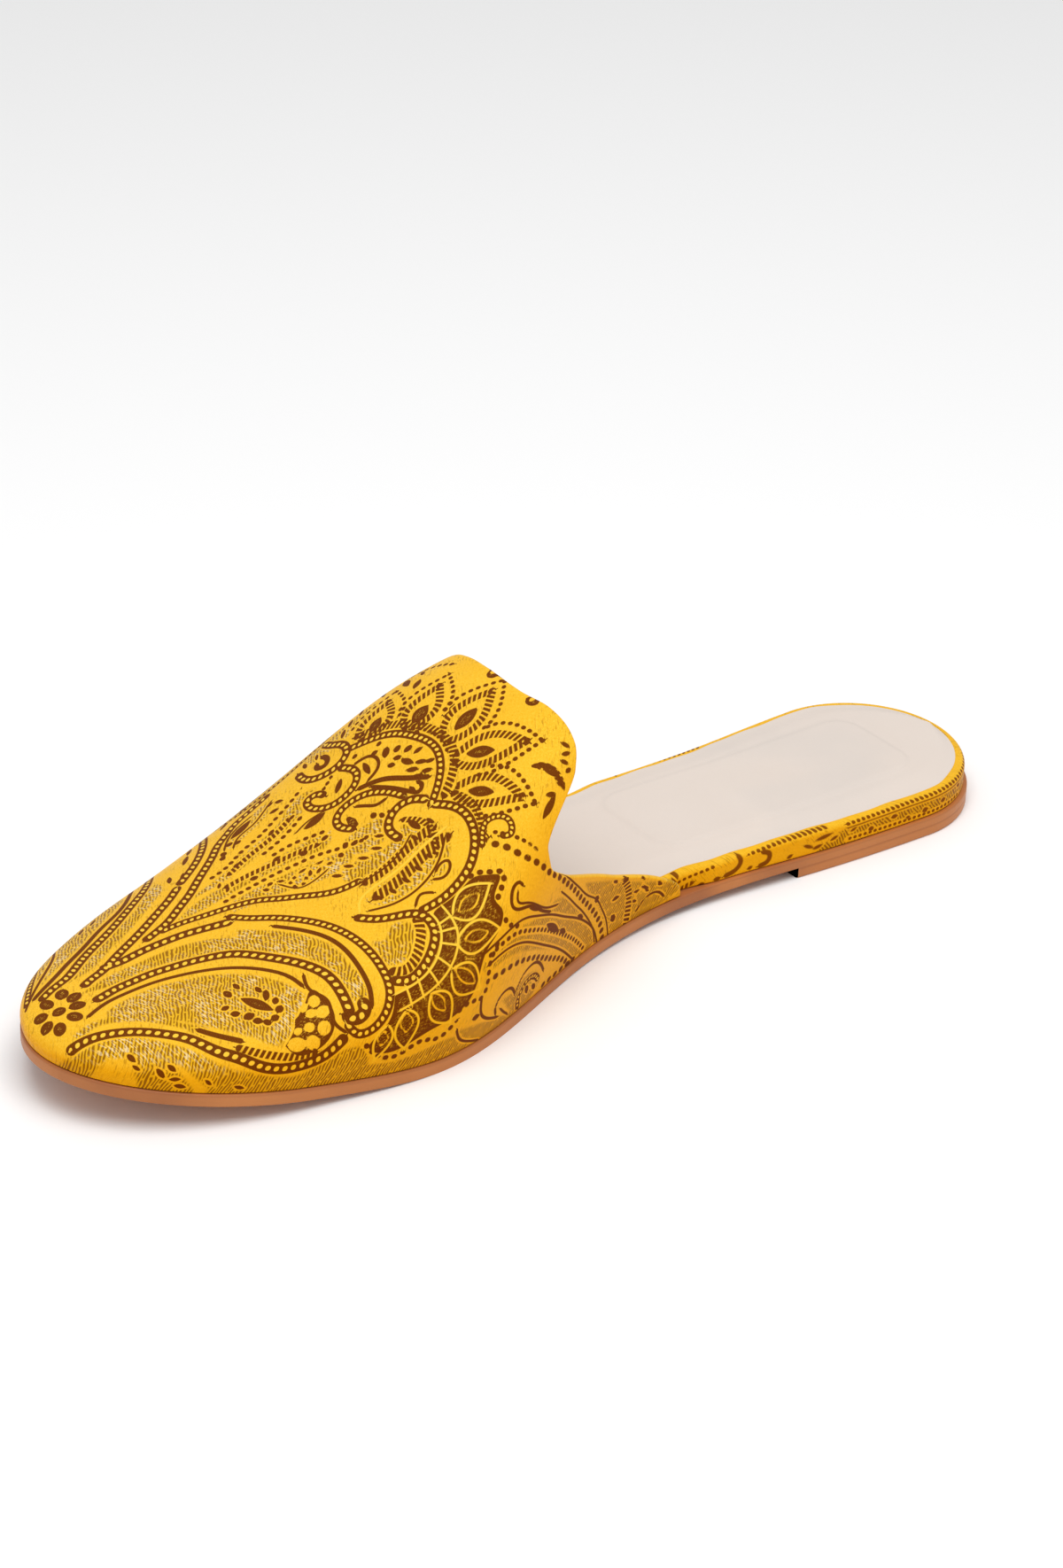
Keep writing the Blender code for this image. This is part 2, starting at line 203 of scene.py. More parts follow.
@dataclass(frozen=True)
class Last:
    """The form of the shoe, in mm: plan, ground line, board thickness and vamp sections."""

    length: float = 255.0
    lift: float = 2.4
    gap: float = 0.3
    sole: float = 2.8
    spring: float = 9.75
    board_heel: float = 5.0
    board_ball: float = 3.2
    wall: float = 1.6
    lean: float = 6.0
    ridge: float = 5.5
    overhang: float = 0.85
    nose_height: float = 10.0
    vamp_inset: float = 0.4
    wrap_inset: float = 0.8
    heel_round: float = 0.10
    toe_round: float = 0.18
    nose_round: float = 0.085
    arch: tuple[float, float] = (0.24, 0.60)
    spring_start: float = 0.70
    spring_power: float = 1.5
    board_thins: tuple[float, float] = (0.25, 0.55)
    board_tucks: tuple[float, float] = (0.33, 0.37)

    def ends(self, along: np.ndarray) -> np.ndarray:
        """How much of the width the rounded heel and toe leave.

        Args:
            along: Places along the shoe.

        Returns:
            Shares of the width.
        """
        heel = rounded_end((self.heel_round - along) / self.heel_round, 2.0)
        toe = rounded_end((along - 1.0 + self.toe_round) / self.toe_round, 2.2)
        return heel * toe

    def slant(self, along: np.ndarray, side: np.ndarray) -> np.ndarray:
        """How much longer an inset is across the shoe than square to its edge.

        Args:
            along: Places along the shoe.
            side: 1 inner, -1 outer.

        Returns:
            Factors of 1 or more.
        """
        near = np.maximum(along - SLANT_STEP, 0.0)
        far = np.minimum(along + SLANT_STEP, 1.0)
        shift = OUTLINE_MIDDLE(far) - OUTLINE_MIDDLE(near)
        spread = OUTLINE_HALF(far) - OUTLINE_HALF(near)
        return np.hypot(1.0, (shift + side * spread) / (self.length * (far - near)))

    def half_width(self, along: np.ndarray, inset: np.ndarray, side: np.ndarray) -> np.ndarray:
        """Middle of the sole to its edge, moved in by inset, on side 1 inner or -1 outer."""
        return self.ends(along) * (OUTLINE_HALF(along) - inset * self.slant(along, side))

    def ground(self, along: np.ndarray) -> np.ndarray:
        """Underside of the outsole: up on the lift, down on the tread, up at the toe.

        Args:
            along: Places along the shoe.

        Returns:
            Heights in mm.
        """
        heel = (self.lift + self.gap) * (1.0 - ease(along, *self.arch))
        toe = np.maximum((along - self.spring_start) / (1.0 - self.spring_start), 0.0)
        return heel + self.spring * toe**self.spring_power

    def feather(self, along: np.ndarray) -> np.ndarray:
        """Plane just above the outsole, where the footbed and the vamp stand."""
        return self.ground(along) + self.sole + self.gap

    def board(self, along: np.ndarray) -> np.ndarray:
        """Thickness of the wrapped board, heel to ball."""
        thinner = self.board_ball - self.board_heel
        return self.board_heel + thinner * ease(along, *self.board_thins)

    def board_inset(self, along: np.ndarray) -> np.ndarray:
        """The wrapped edge shows behind the vamp and tucks inside its wall in front."""
        inside = self.vamp_inset + self.wall + self.gap
        return self.wrap_inset + (inside - self.wrap_inset) * ease(along, *self.board_tucks)

    def vamp(self, along: np.ndarray, around: np.ndarray, side: np.ndarray) -> np.ndarray:
        """Points of the vamp's outer face.

        Args:
            along: Places along the shoe.
            around: 0 at the crown to 1 at the feather line.
            side: 1 on the inner side, -1 on the outer.

        Returns:
            Points in mm, one row for each place.
        """
        height, crown_full, side_full, bulge, lean = (curve(along) for curve in VAMP_CURVES)
        into_nose = (along - 1.0 + self.nose_round) / self.nose_round
        nose = rounded_end(into_nose, 3.0)
        up = 1.0 - around
        flank = 3.0 * around * around * up
        shape = up**3 + 3.0 * around * up * up + flank * side_full
        rise = height * nose * shape
        reach = 3.0 * around * up * up * crown_full + flank * (1.0 + bulge) + around**3
        part_up = np.minimum(rise / self.nose_height, 1.0)
        over = self.overhang * 4.0 * part_up * (1.0 - part_up) * np.clip(into_nose, 0.0, 1.0)
        x = self.vamp_inset + along * (self.length - 2.0 * self.vamp_inset) + over
        leaning = lean * nose * (self.lean * shape + self.ridge * (1.0 - reach))
        half = self.half_width(along, self.vamp_inset, side)
        y = OUTLINE_MIDDLE(along) + leaning + side * half * reach
        return np.stack([x, y, self.feather(along) + rise], -1)

    def topline(self, around: np.ndarray, inner: bool) -> np.ndarray:
        """Place along the shoe where the vamp starts, on a line that never passes its rows.

        Args:
            around: 0 at the crown to 1 at the feather line.
            inner: Whether it is the inner side of the foot.

        Returns:
            Shares of the length.
        """
        knots = np.array([r.around for r in TOPLINE])
        ends = np.array([r.inner if inner else r.outer for r in TOPLINE])
        widths = np.diff(knots)
        slopes = np.diff(ends) / widths
        tangents = np.zeros(len(knots))
        agree = slopes[:-1] * slopes[1:] > 0.0
        means = 2.0 * slopes[:-1] * slopes[1:] / np.where(agree, slopes[:-1] + slopes[1:], 1.0)
        tangents[1:-1] = np.where(agree, means, 0.0)
        i = np.clip(np.searchsorted(knots, around, side="right") - 1, 0, len(widths) - 1)
        t = (around - knots[i]) / widths[i]
        rise = (3.0 - 2.0 * t) * t * t
        leave = t * (1.0 - t) ** 2 * widths[i] * tangents[i]
        arrive = t * t * (t - 1.0) * widths[i] * tangents[i + 1]
        return ends[i] + (ends[i + 1] - ends[i]) * rise + leave + arrive


LAST = Last()


def drawing_offset() -> np.ndarray:
    """Where the drawing's zero lies in the row frame, in mm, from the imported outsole's box.

    Returns:
        Its X, Y and Z.
    """
    low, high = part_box("outsole")
    along = np.linspace(0.0, 1.0, 2001)
    sides = [OUTLINE_MIDDLE(along) + s * LAST.half_width(along, 0.0, s) for s in (1.0, -1.0)]
    middle = (max(sides[0]) + min(sides[1])) / 2.0
    return np.array([low.x / MM, (low.y + high.y) / 2.0 / MM - middle, 0.0])


OFFSET = drawing_offset()


# Meshes


WELD = 0.002


def grid_piece(
    name: str, grid: np.ndarray, loop: bool, layers: dict[str, np.ndarray]
) -> bpy.types.Object:
    """A smooth mesh from a grid of points, with what its finish reads at each point.

    Args:
        name: The piece's name.
        grid: Points in mm of the drawing, shaped (rows, columns, 3).
        loop: Whether the last column joins the first.
        layers: Values at each point, one number or three, by attribute name.

    Returns:
        The new object, with points that coincide made one.
    """
    rows, columns = grid.shape[:2]
    index = np.arange(rows * columns).reshape(rows, columns)
    right = np.roll(index, -1, axis=1) if loop else index[:, 1:]
    left = index if loop else index[:, :-1]
    quads = np.stack([left[:-1], left[1:], right[1:], right[:-1]], -1).reshape(-1, 4)
    mesh = bpy.data.meshes.new(name)
    mesh.vertices.add(rows * columns)
    mesh.vertices.foreach_set("co", ((grid + OFFSET) * MM).astype(np.float32).ravel())
    mesh.loops.add(quads.size)
    mesh.loops.foreach_set("vertex_index", quads.astype(np.int32).ravel())
    mesh.polygons.add(len(quads))
    mesh.polygons.foreach_set("loop_start", np.arange(0, quads.size, 4, dtype=np.int32))
    for layer, values in layers.items():
        kind = "FLOAT" if values.ndim == 2 else "FLOAT_VECTOR"
        target = mesh.attributes.new(layer, kind, "POINT")
        slot = "value" if kind == "FLOAT" else "vector"
        target.data.foreach_set(slot, values.astype(np.float32).ravel())
    mesh.update(calc_edges=True)
    mesh.validate()
    welded = bmesh.new()
    welded.from_mesh(mesh)
    bmesh.ops.remove_doubles(welded, verts=welded.verts, dist=WELD * MM)
    welded.to_mesh(mesh)
    welded.free()
    mesh.shade_smooth()
    piece = bpy.data.objects.new(name, mesh)
    bpy.context.scene.collection.objects.link(piece)
    return piece


def three(pairs: np.ndarray) -> np.ndarray:
    """Pairs of numbers with a 0 after them, as a vector layer takes them."""
    return np.concatenate([pairs, np.zeros((*pairs.shape[:-1], 1))], -1)


def outward(grid: np.ndarray) -> np.ndarray:
    """Unit normals of a grid of points, from its rows and columns.

    Args:
        grid: Points, shaped (rows, columns, 3).

    Returns:
        A normal for each point.
    """
    down = np.gradient(grid, axis=0)
    across = np.gradient(grid, axis=1)
    normal = np.cross(down, across)
    return normal / np.maximum(np.linalg.norm(normal, axis=-1, keepdims=True), 1e-9)


def level_of(value: float) -> Curve:
    """The same value at every place."""
    return lambda along: np.full_like(np.asarray(along, float), value)


def level_face(points: np.ndarray, inward: np.ndarray) -> np.ndarray:
    """No relief at any point of a face, given with its distances in from the rim."""
    return np.zeros(len(points))


class EdgePoint(NamedTuple):
    """One point of a flat piece's edge, going round from its upper face to its under face."""

    inset: float
    height: float
    drop: float


def round_edge(radius: float, under: float, steps: int, wall: int = 1) -> list[EdgePoint]:
    """An edge with a round upper and a smaller round lower corner.

    Args:
        radius: Radius at the top, mm.
        under: Radius underneath, mm.
        steps: Points in each corner.
        wall: Steps between the corners.

    Returns:
        Points from the upper face to the under face.
    """
    turns = [math.pi / 2.0 * i / steps for i in range(steps + 1)]
    arcs = [(1.0 - math.sin(turn), 1.0 - math.cos(turn)) for turn in turns]
    top = [EdgePoint(radius * inset, 1.0, -radius * drop) for inset, drop in arcs]
    low = [EdgePoint(under * inset, 0.0, under * drop) for drop, inset in arcs]
    shares = [k / wall for k in range(1, wall)]
    side = [EdgePoint(0.0, 1.0 - part, part * under - (1.0 - part) * radius) for part in shares]
    return top + side + low


@dataclass(frozen=True)
class FlatPiece:
    """A flat piece that follows the sole's plan, with worked edges and a gridded upper face."""

    name: str
    inset: Curve
    bottom: Curve
    thickness: Curve
    edge: tuple[EdgePoint, ...]
    end: float = 1.0
    stations: int = 380
    across: int = 36
    relief: Relief = level_face

    def places(self) -> np.ndarray:
        """Places along the piece, crowded toward its rounded ends.

        Returns:
            Shares of the length.
        """
        turn = np.linspace(0.0, math.pi, self.stations)
        if self.end < 1.0:
            turn = turn / 2.0
            return self.end * (1.0 - np.cos(turn))
        return (1.0 - np.cos(turn)) / 2.0

    def grid(self) -> tuple[np.ndarray, np.ndarray]:
        """Cross-sections of the piece, each going once round it.

        Returns:
            The points, and their places on the unrolled sheet: mm along the rim from the back of
            the heel, inner side positive, mm down from the upper rim, less than 0 on the upper
            face, and the height of the relief.
        """
        along = self.places()
        thick = self.thickness(along)
        shares = np.linspace(-1.0, 1.0, self.across + 1)[1:-1]
        rims = [self.line(along, self.edge[0], side) for side in (1.0, -1.0)]
        half = (rims[0] - rims[1])[:, 1] / 2.0
        columns, depths, sides, heights = [], [], [], []
        for side, points in ((1.0, self.edge), (-1.0, self.edge[::-1])):
            for point in points:
                columns.append(self.line(along, point, side))
                depths.append((1.0 - point.height) * thick - point.drop)
                sides.append(side)
                heights.append(np.zeros_like(along))
            level = self.edge[-1] if side > 0.0 else self.edge[0]
            for share in shares[::-1] if side > 0.0 else shares:
                face = self.line(along, level, share)
                inward = (1.0 - abs(share)) * half
                heights.append(self.relief(face, inward) if side < 0.0 else np.zeros_like(along))
                face[:, 2] += heights[-1]
                columns.append(face)
                depths.append(thick + inward if side > 0.0 else -inward)
                sides.append(1.0 if share >= 0.0 else -1.0)
        grid = np.stack(columns, 1)
        steps = np.hypot(np.diff(grid[:, 0, 0]), np.diff(grid[:, 0, 1]))
        run = np.concatenate([[0.0], np.cumsum(steps)])
        sheet = [run[:, None] * np.array(sides), np.stack(depths, 1), np.stack(heights, 1)]
        return grid, np.stack(sheet, -1)

    def line(self, along: np.ndarray, point: EdgePoint, share: float) -> np.ndarray:
        """One line heel to toe at an edge point's level.

        Args:
            along: Places along the piece.
            point: The level and its inset.
            share: 1 on the inner rim, -1 on the outer, between them on a face.

        Returns:
            Points in mm.
        """
        inset = self.inset(along) + point.inset
        x = inset + along * (LAST.length - 2.0 * inset)
        sides = [OUTLINE_MIDDLE(along) + s * LAST.half_width(along, inset, s) for s in (1.0, -1.0)]
        y = (sides[0] + sides[1]) / 2.0 + share * (sides[0] - sides[1]) / 2.0
        z = self.bottom(along) + self.thickness(along) * point.height + point.drop
        return np.stack([x, y, z], -1)

    def build(self) -> bpy.types.Object:
        """The piece as a mesh object."""
        grid, sheet = self.grid()
        return grid_piece(self.name, grid, True, {"sheet": sheet})


# The cloth's chart and what is woven into it


@dataclass(frozen=True)
class ClothChart:
    """Turns places on the flat cloth into points of the vamp and back."""

    alongs: np.ndarray
    arounds: np.ndarray
    arcs: dict[float, np.ndarray]

    @classmethod
    def drawn_on(cls, steps: int = 240, turns: int = 160) -> "ClothChart":
        """Measures the arcs round the vamp on a regular net of places.

        Args:
            steps: Places along the shoe.
            turns: Places round it.

        Returns:
            The chart.
        """
        alongs = np.linspace(VAMP[0].along, 1.0, steps)
        arounds = np.linspace(0.0, 1.0, turns)
        arcs = {}
        for side in (1.0, -1.0):
            along, around = np.meshgrid(alongs, arounds, indexing="ij")
            points = LAST.vamp(along, around, side)
            lengths = np.linalg.norm(np.diff(points, axis=1), axis=-1)
            arcs[side] = np.concatenate([np.zeros((steps, 1)), np.cumsum(lengths, axis=1)], 1)
        return cls(alongs, arounds, arcs)

    def arc(self, along: np.ndarray, around: np.ndarray, side: float) -> np.ndarray:
        """Signed mm of arc from the crown line.

        Args:
            along: Places along the shoe.
            around: Places round it.
            side: 1 inner, -1 outer.

        Returns:
            Arcs, positive on the inner side.
        """
        at = np.interp(along, self.alongs, np.arange(len(self.alongs)))
        low = np.minimum(at.astype(int), len(self.alongs) - 2)
        turn = np.clip(around, 0.0, 1.0) * (len(self.arounds) - 1)
        left = np.minimum(turn.astype(int), len(self.arounds) - 2)
        table = self.arcs[side]
        share, part = at - low, turn - left
        near = table[low, left] * (1.0 - part) + table[low, left + 1] * part
        far = table[low + 1, left] * (1.0 - part) + table[low + 1, left + 1] * part
        return side * (near * (1.0 - share) + far * share)

    def points(self, chart: np.ndarray) -> np.ndarray:
        """Points of the vamp at places on the flat cloth, hanging below it past the feather line.

        Args:
            chart: Rows of (mm back from the toe, mm of arc from the crown line).

        Returns:
            Points in mm of the drawing.
        """
        chart = np.asarray(chart, float)
        along = 1.0 - chart[:, 0] / LAST.length
        side = np.where(chart[:, 1] >= 0.0, 1.0, -1.0)
        at = np.interp(along, self.alongs, np.arange(len(self.alongs)))
        low = np.minimum(at.astype(int), len(self.alongs) - 2)
        around, past = np.zeros(len(chart)), np.zeros(len(chart))
        for i, (row, share, arc) in enumerate(zip(low, at - low, chart[:, 1])):
            table = self.arcs[side[i]]
            span = table[row] + (table[row + 1] - table[row]) * share
            around[i] = np.interp(abs(arc), span, self.arounds)
            past[i] = max(abs(arc) - span[-1], 0.0)
        points = LAST.vamp(along, around, side)
        points[:, 2] -= past
        return points


class Stroke(Enum):
    """How a band is woven: what its middle and its edges carry."""

    BEADS = 0.0
    DOTS = 1.0
    LINE = 2.0
    BARS = 3.0
    GOLD = 4.0


class Form(Enum):
    """How the sides of a small filled shape close toward its ends."""

    LENS = 1.0
    OVAL = 0.5


class Band(NamedTuple):
    """A woven band: its stroke, its width in mm and the places that it runs through."""

    stroke: Stroke
    width: float
    places: tuple[tuple[float, float], ...]


class Leaf(NamedTuple):
    """A small filled shape: its middle, length, width and turn in degrees."""

    back: float
    arc: float
    length: float
    width: float
    turn: float


class Petal(NamedTuple):
    """A pointed petal with a ring of bars round it and a dark heart."""

    back: float
    arc: float
    tip_back: float
    tip_arc: float
    width: float
    heart_back: float
    heart_arc: float
    heart_length: float
    heart_width: float
    heart_turn: float

    def heart(self) -> Leaf:
        """The leaf in its middle."""
        return Leaf(*self[PETAL_SIZES:])

    def sides(self, grow: float, start: float) -> list[np.ndarray]:
        """Its two sides, base to tip.

        Args:
            grow: How far outside its own outline they lie, mm.
            start: Share of its length where they begin.

        Returns:
            Two lines of (back, arc).
        """
        base, tip = np.array(self[:2]), np.array(self[2:4])
        length = float(np.linalg.norm(tip - base))
        ahead = (tip - base) / length
        across = np.array([-ahead[1], ahead[0]])
        share = np.linspace(start, 1.0, PETAL_STEPS)
        half = (self.width / 2.0 + grow) * np.sin(math.pi * share**PETAL_FULLNESS)
        middle = base + ahead * (share * (length + PETAL_POINT * grow))[:, None]
        return [middle + side * across * half[:, None] for side in (1.0, -1.0)]

    def bands(self) -> list[Band]:
        """Round a large petal a ring of bars and a row of dots, round a small one a gold line.

        Returns:
            The bands.
        """
        rings = [(Stroke.GOLD, 0.55, 0.0, 0.03)]
        if self.width > LARGE_PETAL:
            bars = (Stroke.BARS, RING_WIDTH, -RING_WIDTH / 2.0, 0.06)
            rings = [bars, (Stroke.DOTS, 1.1, 1.4, 0.3)]
        return [
            Band(kind, width, line)
            for kind, width, grow, start in rings
            for line in self.sides(grow, start)
        ]


PETAL_SIZES = 5
PETAL_STEPS = 12
PETAL_POINT = 1.5
PETAL_FULLNESS = 0.8
LARGE_PETAL = 7.0
RING_WIDTH = 2.0
HEART_RING = 0.45

# What is woven, in mm on the flat chart: mm back from the toe, mm of arc from the crown line

BEADS, DOTS, LINE, BARS, GOLD = Stroke

# Columns: stroke, width, the places that it runs through
TOE_BANDS = (
    (BEADS, 2.3, ((15.4, -5.7), (18, -6.9), (21, -8), (26.5, -11), (31, -13.2), (37.5, -16.4),
     (43, -19.4), (47.5, -22), (50, -23.8))),
    (BEADS, 2.3, ((52, -25.3), (56, -27.8), (60, -31), (63.5, -35), (66, -39), (68, -43))),
    (BEADS, 2.3, ((35, -11.9), (38.5, -12.9), (41.5, -14), (46, -16.6), (50.5, -19.3), (54, -22),
     (58, -25), (62, -28.2), (65, -31), (68.5, -33.3), (72, -35.4), (76, -36.4), (81, -37))),
    (BEADS, 2.3, ((7, -8.2), (10, -9.4), (13.5, -10.6), (18.5, -13.8), (24, -17.4), (30, -20.6),
     (36.5, -24.5), (41, -27.5), (45, -30.4), (48, -33.2), (50.5, -36.5), (53, -41))),
    (LINE, 1.2, ((6, -9.9), (12, -12.8), (17, -15.9), (24, -20), (31, -24.3), (38, -28),
     (42, -31.4), (45.5, -35.9), (48, -40))),
    (LINE, 0.8, ((3.5, -9), (8, -13), (14, -18.5), (18, -23), (21.5, -29), (24, -33))),
    (BEADS, 1.9, ((4.5, -10.5), (8, -15.5), (12, -21), (16, -27), (19, -31))),
    (BEADS, 2.6, ((22.5, -8.9), (26.5, -8.6), (31, -8.8), (36, -8.4), (41.5, -7.3), (46, -5.6),
     (50, -3.8))),
    (BEADS, 2, ((39, -12), (43, -11.4), (48, -9.8), (52, -8.4), (56, -6.6), (59, -4.6), (62, -1.6),
     (65, 1.2), (68, 4.2), (71, 6.4), (75, 7.9))),
)

PAISLEY_BANDS = (
    (BEADS, 2.5, ((14.6, 0.7), (16.6, 0.3), (19, -0.2), (24, -0.5), (29, -0.2), (33, 0.7),
     (37.5, 2.1), (41.5, 3.9), (45, 6.2), (47.5, 9.2), (50, 13), (52.5, 17), (54.5, 21), (55.8, 25),
     (56, 30), (55.6, 34.5))),
    (BEADS, 2.5, ((52.5, 39.2), (48.5, 40.3), (43, 39.7), (38.5, 38), (34, 34.7), (30.5, 31),
     (27, 27.4), (23.5, 22.2), (20, 18.5), (16, 15.2), (12, 12.7), (7.5, 10.6), (3.5, 9.3))),
    (LINE, 1, ((10, 4.6), (15, 3), (20, 2.4), (27, 2.7), (33, 4.4), (38, 6.8), (42, 9.6),
     (45, 12.6), (47.5, 16), (49.5, 20), (50.3, 24))),
    (LINE, 1.3, ((26.4, 21.4), (28.2, 23.8), (30.2, 26), (32.4, 28.2))),
    (BARS, 1.7, ((31.5, 29.5), (35, 32.6), (38.5, 35.2), (42, 37.2), (46, 38.4))),
    (BEADS, 2, ((51.5, -5), (53.5, -2), (57, 2), (60.5, 7), (63.5, 13), (65.2, 19), (65.9, 25),
     (65.8, 31), (64.8, 36.3), (62.5, 39.4), (59, 40.8), (55.8, 39.8), (54.4, 37.3))),
    (LINE, 1.1, ((56, 5), (59.5, 11), (61.8, 17), (62.4, 23), (62, 29), (61.3, 33.5),
     (60.3, 36.2))),
    (BEADS, 2.8, ((54.9, 35.6), (56.6, 36.9), (58.6, 36.4), (58.9, 35))),
    (LINE, 0.8, ((52, 22), (51, 26), (52.6, 30), (51.8, 35), (53.4, 38))),
)

FAN_BANDS = (
    (BARS, 2.1, ((67.4, 32.8), (70, 34), (72.6, 33.3), (75, 31.2), (76.8, 28.6), (77.4, 26.3))),
    (BEADS, 2.2, ((66.8, 34.6), (69.5, 36.2), (73, 35.9), (76.2, 34.2), (78.7, 31.4), (79.2, 28),
     (78, 25), (75, 22.4), (71.7, 19.8), (69.3, 16.6))),
    (BEADS, 2.2, ((79.5, 25.4), (84, 26.4), (88, 26.2), (91.5, 25), (94, 22.8), (96, 19.5),
     (97, 15), (96.4, 10.5), (95, 7))),
    (LINE, 0.7, ((79, 23.4), (81, 22), (83, 23.6))),
    (GOLD, 0.5, ((65.8, 40.6), (69.5, 40.9), (73, 40.9), (77, 40.2), (80.2, 38.4), (82.6, 34.8),
     (83, 31), (82.8, 27.8))),
    (GOLD, 0.5, ((65.8, 37), (69.5, 37.5), (73, 37.4), (76.6, 36), (79.4, 33), (80.4, 29.5),
     (80.2, 27.2))),
    (GOLD, 0.5, ((68.4, 37.2), (68.5, 40.9))),
    (GOLD, 0.5, ((71.3, 37.3), (71.4, 41))),
    (GOLD, 0.5, ((74.2, 37), (75.2, 40.6))),
    (GOLD, 0.5, ((76.8, 35.8), (78.8, 39.4))),
    (GOLD, 0.5, ((78.8, 34), (81.6, 36.6))),
    (GOLD, 0.5, ((79.8, 32), (82.8, 33.4))),
    (GOLD, 0.5, ((80.3, 30.4), (83, 30.7))),
    (DOTS, 1.3, ((89.5, 26.8), (91.8, 27.6), (94, 29.5), (96.2, 31.8), (94.7, 33.8), (92.3, 35.4))),
    (DOTS, 1.3, ((92, 37), (93.5, 39.5), (95, 42.3), (98, 45))),
    (DOTS, 1.3, ((79, 50.5), (83, 50.8), (86.5, 52.4), (88, 49), (88.5, 46), (91, 43.4))),
    (DOTS, 1.3, ((57, 42.6), (60, 47.6), (65, 50.8), (70, 50.8), (75, 53.4), (79, 52.6))),
)

SIDE_BANDS = (
    (LINE, 0.6, ((86, 42.5), (92, 43), (98, 44), (104, 48), (110, 53), (116, 58.5), (121, 62.5),
     (126, 67), (130, 72), (132, 76.5))),
    (DOTS, 1.2, ((88, 44.2), (93, 44.6), (97, 46), (101, 49), (106, 53.4), (111, 58.4), (117, 64.4),
     (122, 69.4), (127, 75.4))),
    (LINE, 0.6, ((88, 46), (93, 46.8), (98, 49.4), (103, 54), (108, 59.4), (114, 65.6), (119, 71),
     (123, 75.8))),
    (DOTS, 1.6, ((89, 50), (93, 51.8), (97, 53.8), (101, 56.6), (105, 60), (109, 64), (113.5, 68.2),
     (118.5, 72.6), (121.5, 76))),
    (DOTS, 1, ((98.2, 23), (100.2, 25.8), (102.4, 29), (104.8, 32.8))),
    (DOTS, 1.6, ((96.6, 24.6), (98.4, 27), (100.2, 30), (102.5, 33.3), (105.5, 37), (108, 40.6),
     (111.5, 44.5), (115, 48.8), (118.5, 53), (121.5, 57), (125, 61.3), (128, 65), (130.5, 68.6),
     (132.6, 72.5), (134, 77))),
    (LINE, 0.5, ((113, 49.5), (117, 54.4), (120, 58.2), (123.5, 62.4), (127, 67.2), (129.5, 71.4),
     (131, 76))),
    (LINE, 0.5, ((111.5, 42.5), (117, 49.6), (121, 54.4), (125, 59), (129, 62.6), (131.5, 66.5),
     (134, 71), (136, 77))),
    (LINE, 0.8, ((99.7, 37), (99, 35.9), (97.6, 35.7), (96.4, 37), (96.2, 39), (98, 41.2),
     (101, 43), (105, 47.4), (109, 51.4))),
    (LINE, 0.6, ((98.2, 37.5), (97.8, 39), (100, 41.4), (103, 44.2), (107, 48.6), (112, 52))),
    (LINE, 0.8, ((92, 62.5), (91.6, 60), (92.6, 58.6), (94.6, 58.6), (97, 60.5), (98.5, 63.5))),
    (LINE, 0.6, ((93.5, 62.5), (95, 65), (97, 67.8))),
    (LINE, 0.8, ((99, 63), (100.5, 61), (104, 61), (107.5, 64), (110, 68.5))),
    (BEADS, 1.7, ((101, 70), (100.6, 66.8), (102.5, 64.8), (105.5, 65.7), (108, 69))),
    (LINE, 0.7, ((79.6, 55.5), (80.6, 58.5), (83, 61.5), (87, 65))),
    (LINE, 0.8, ((86.2, 53), (86.6, 57), (88.8, 60.5), (93, 64.4))),
    (DOTS, 1.6, ((110, 73.4), (114, 74.4), (119, 75.2), (124, 76))),
    (BARS, 2, ((138.6, 62.8), (140.5, 66), (141.6, 70), (142, 77))),
    (LINE, 0.7, ((145, 75.5), (147.5, 73.4), (151, 73.8), (153.5, 76.6))),
)

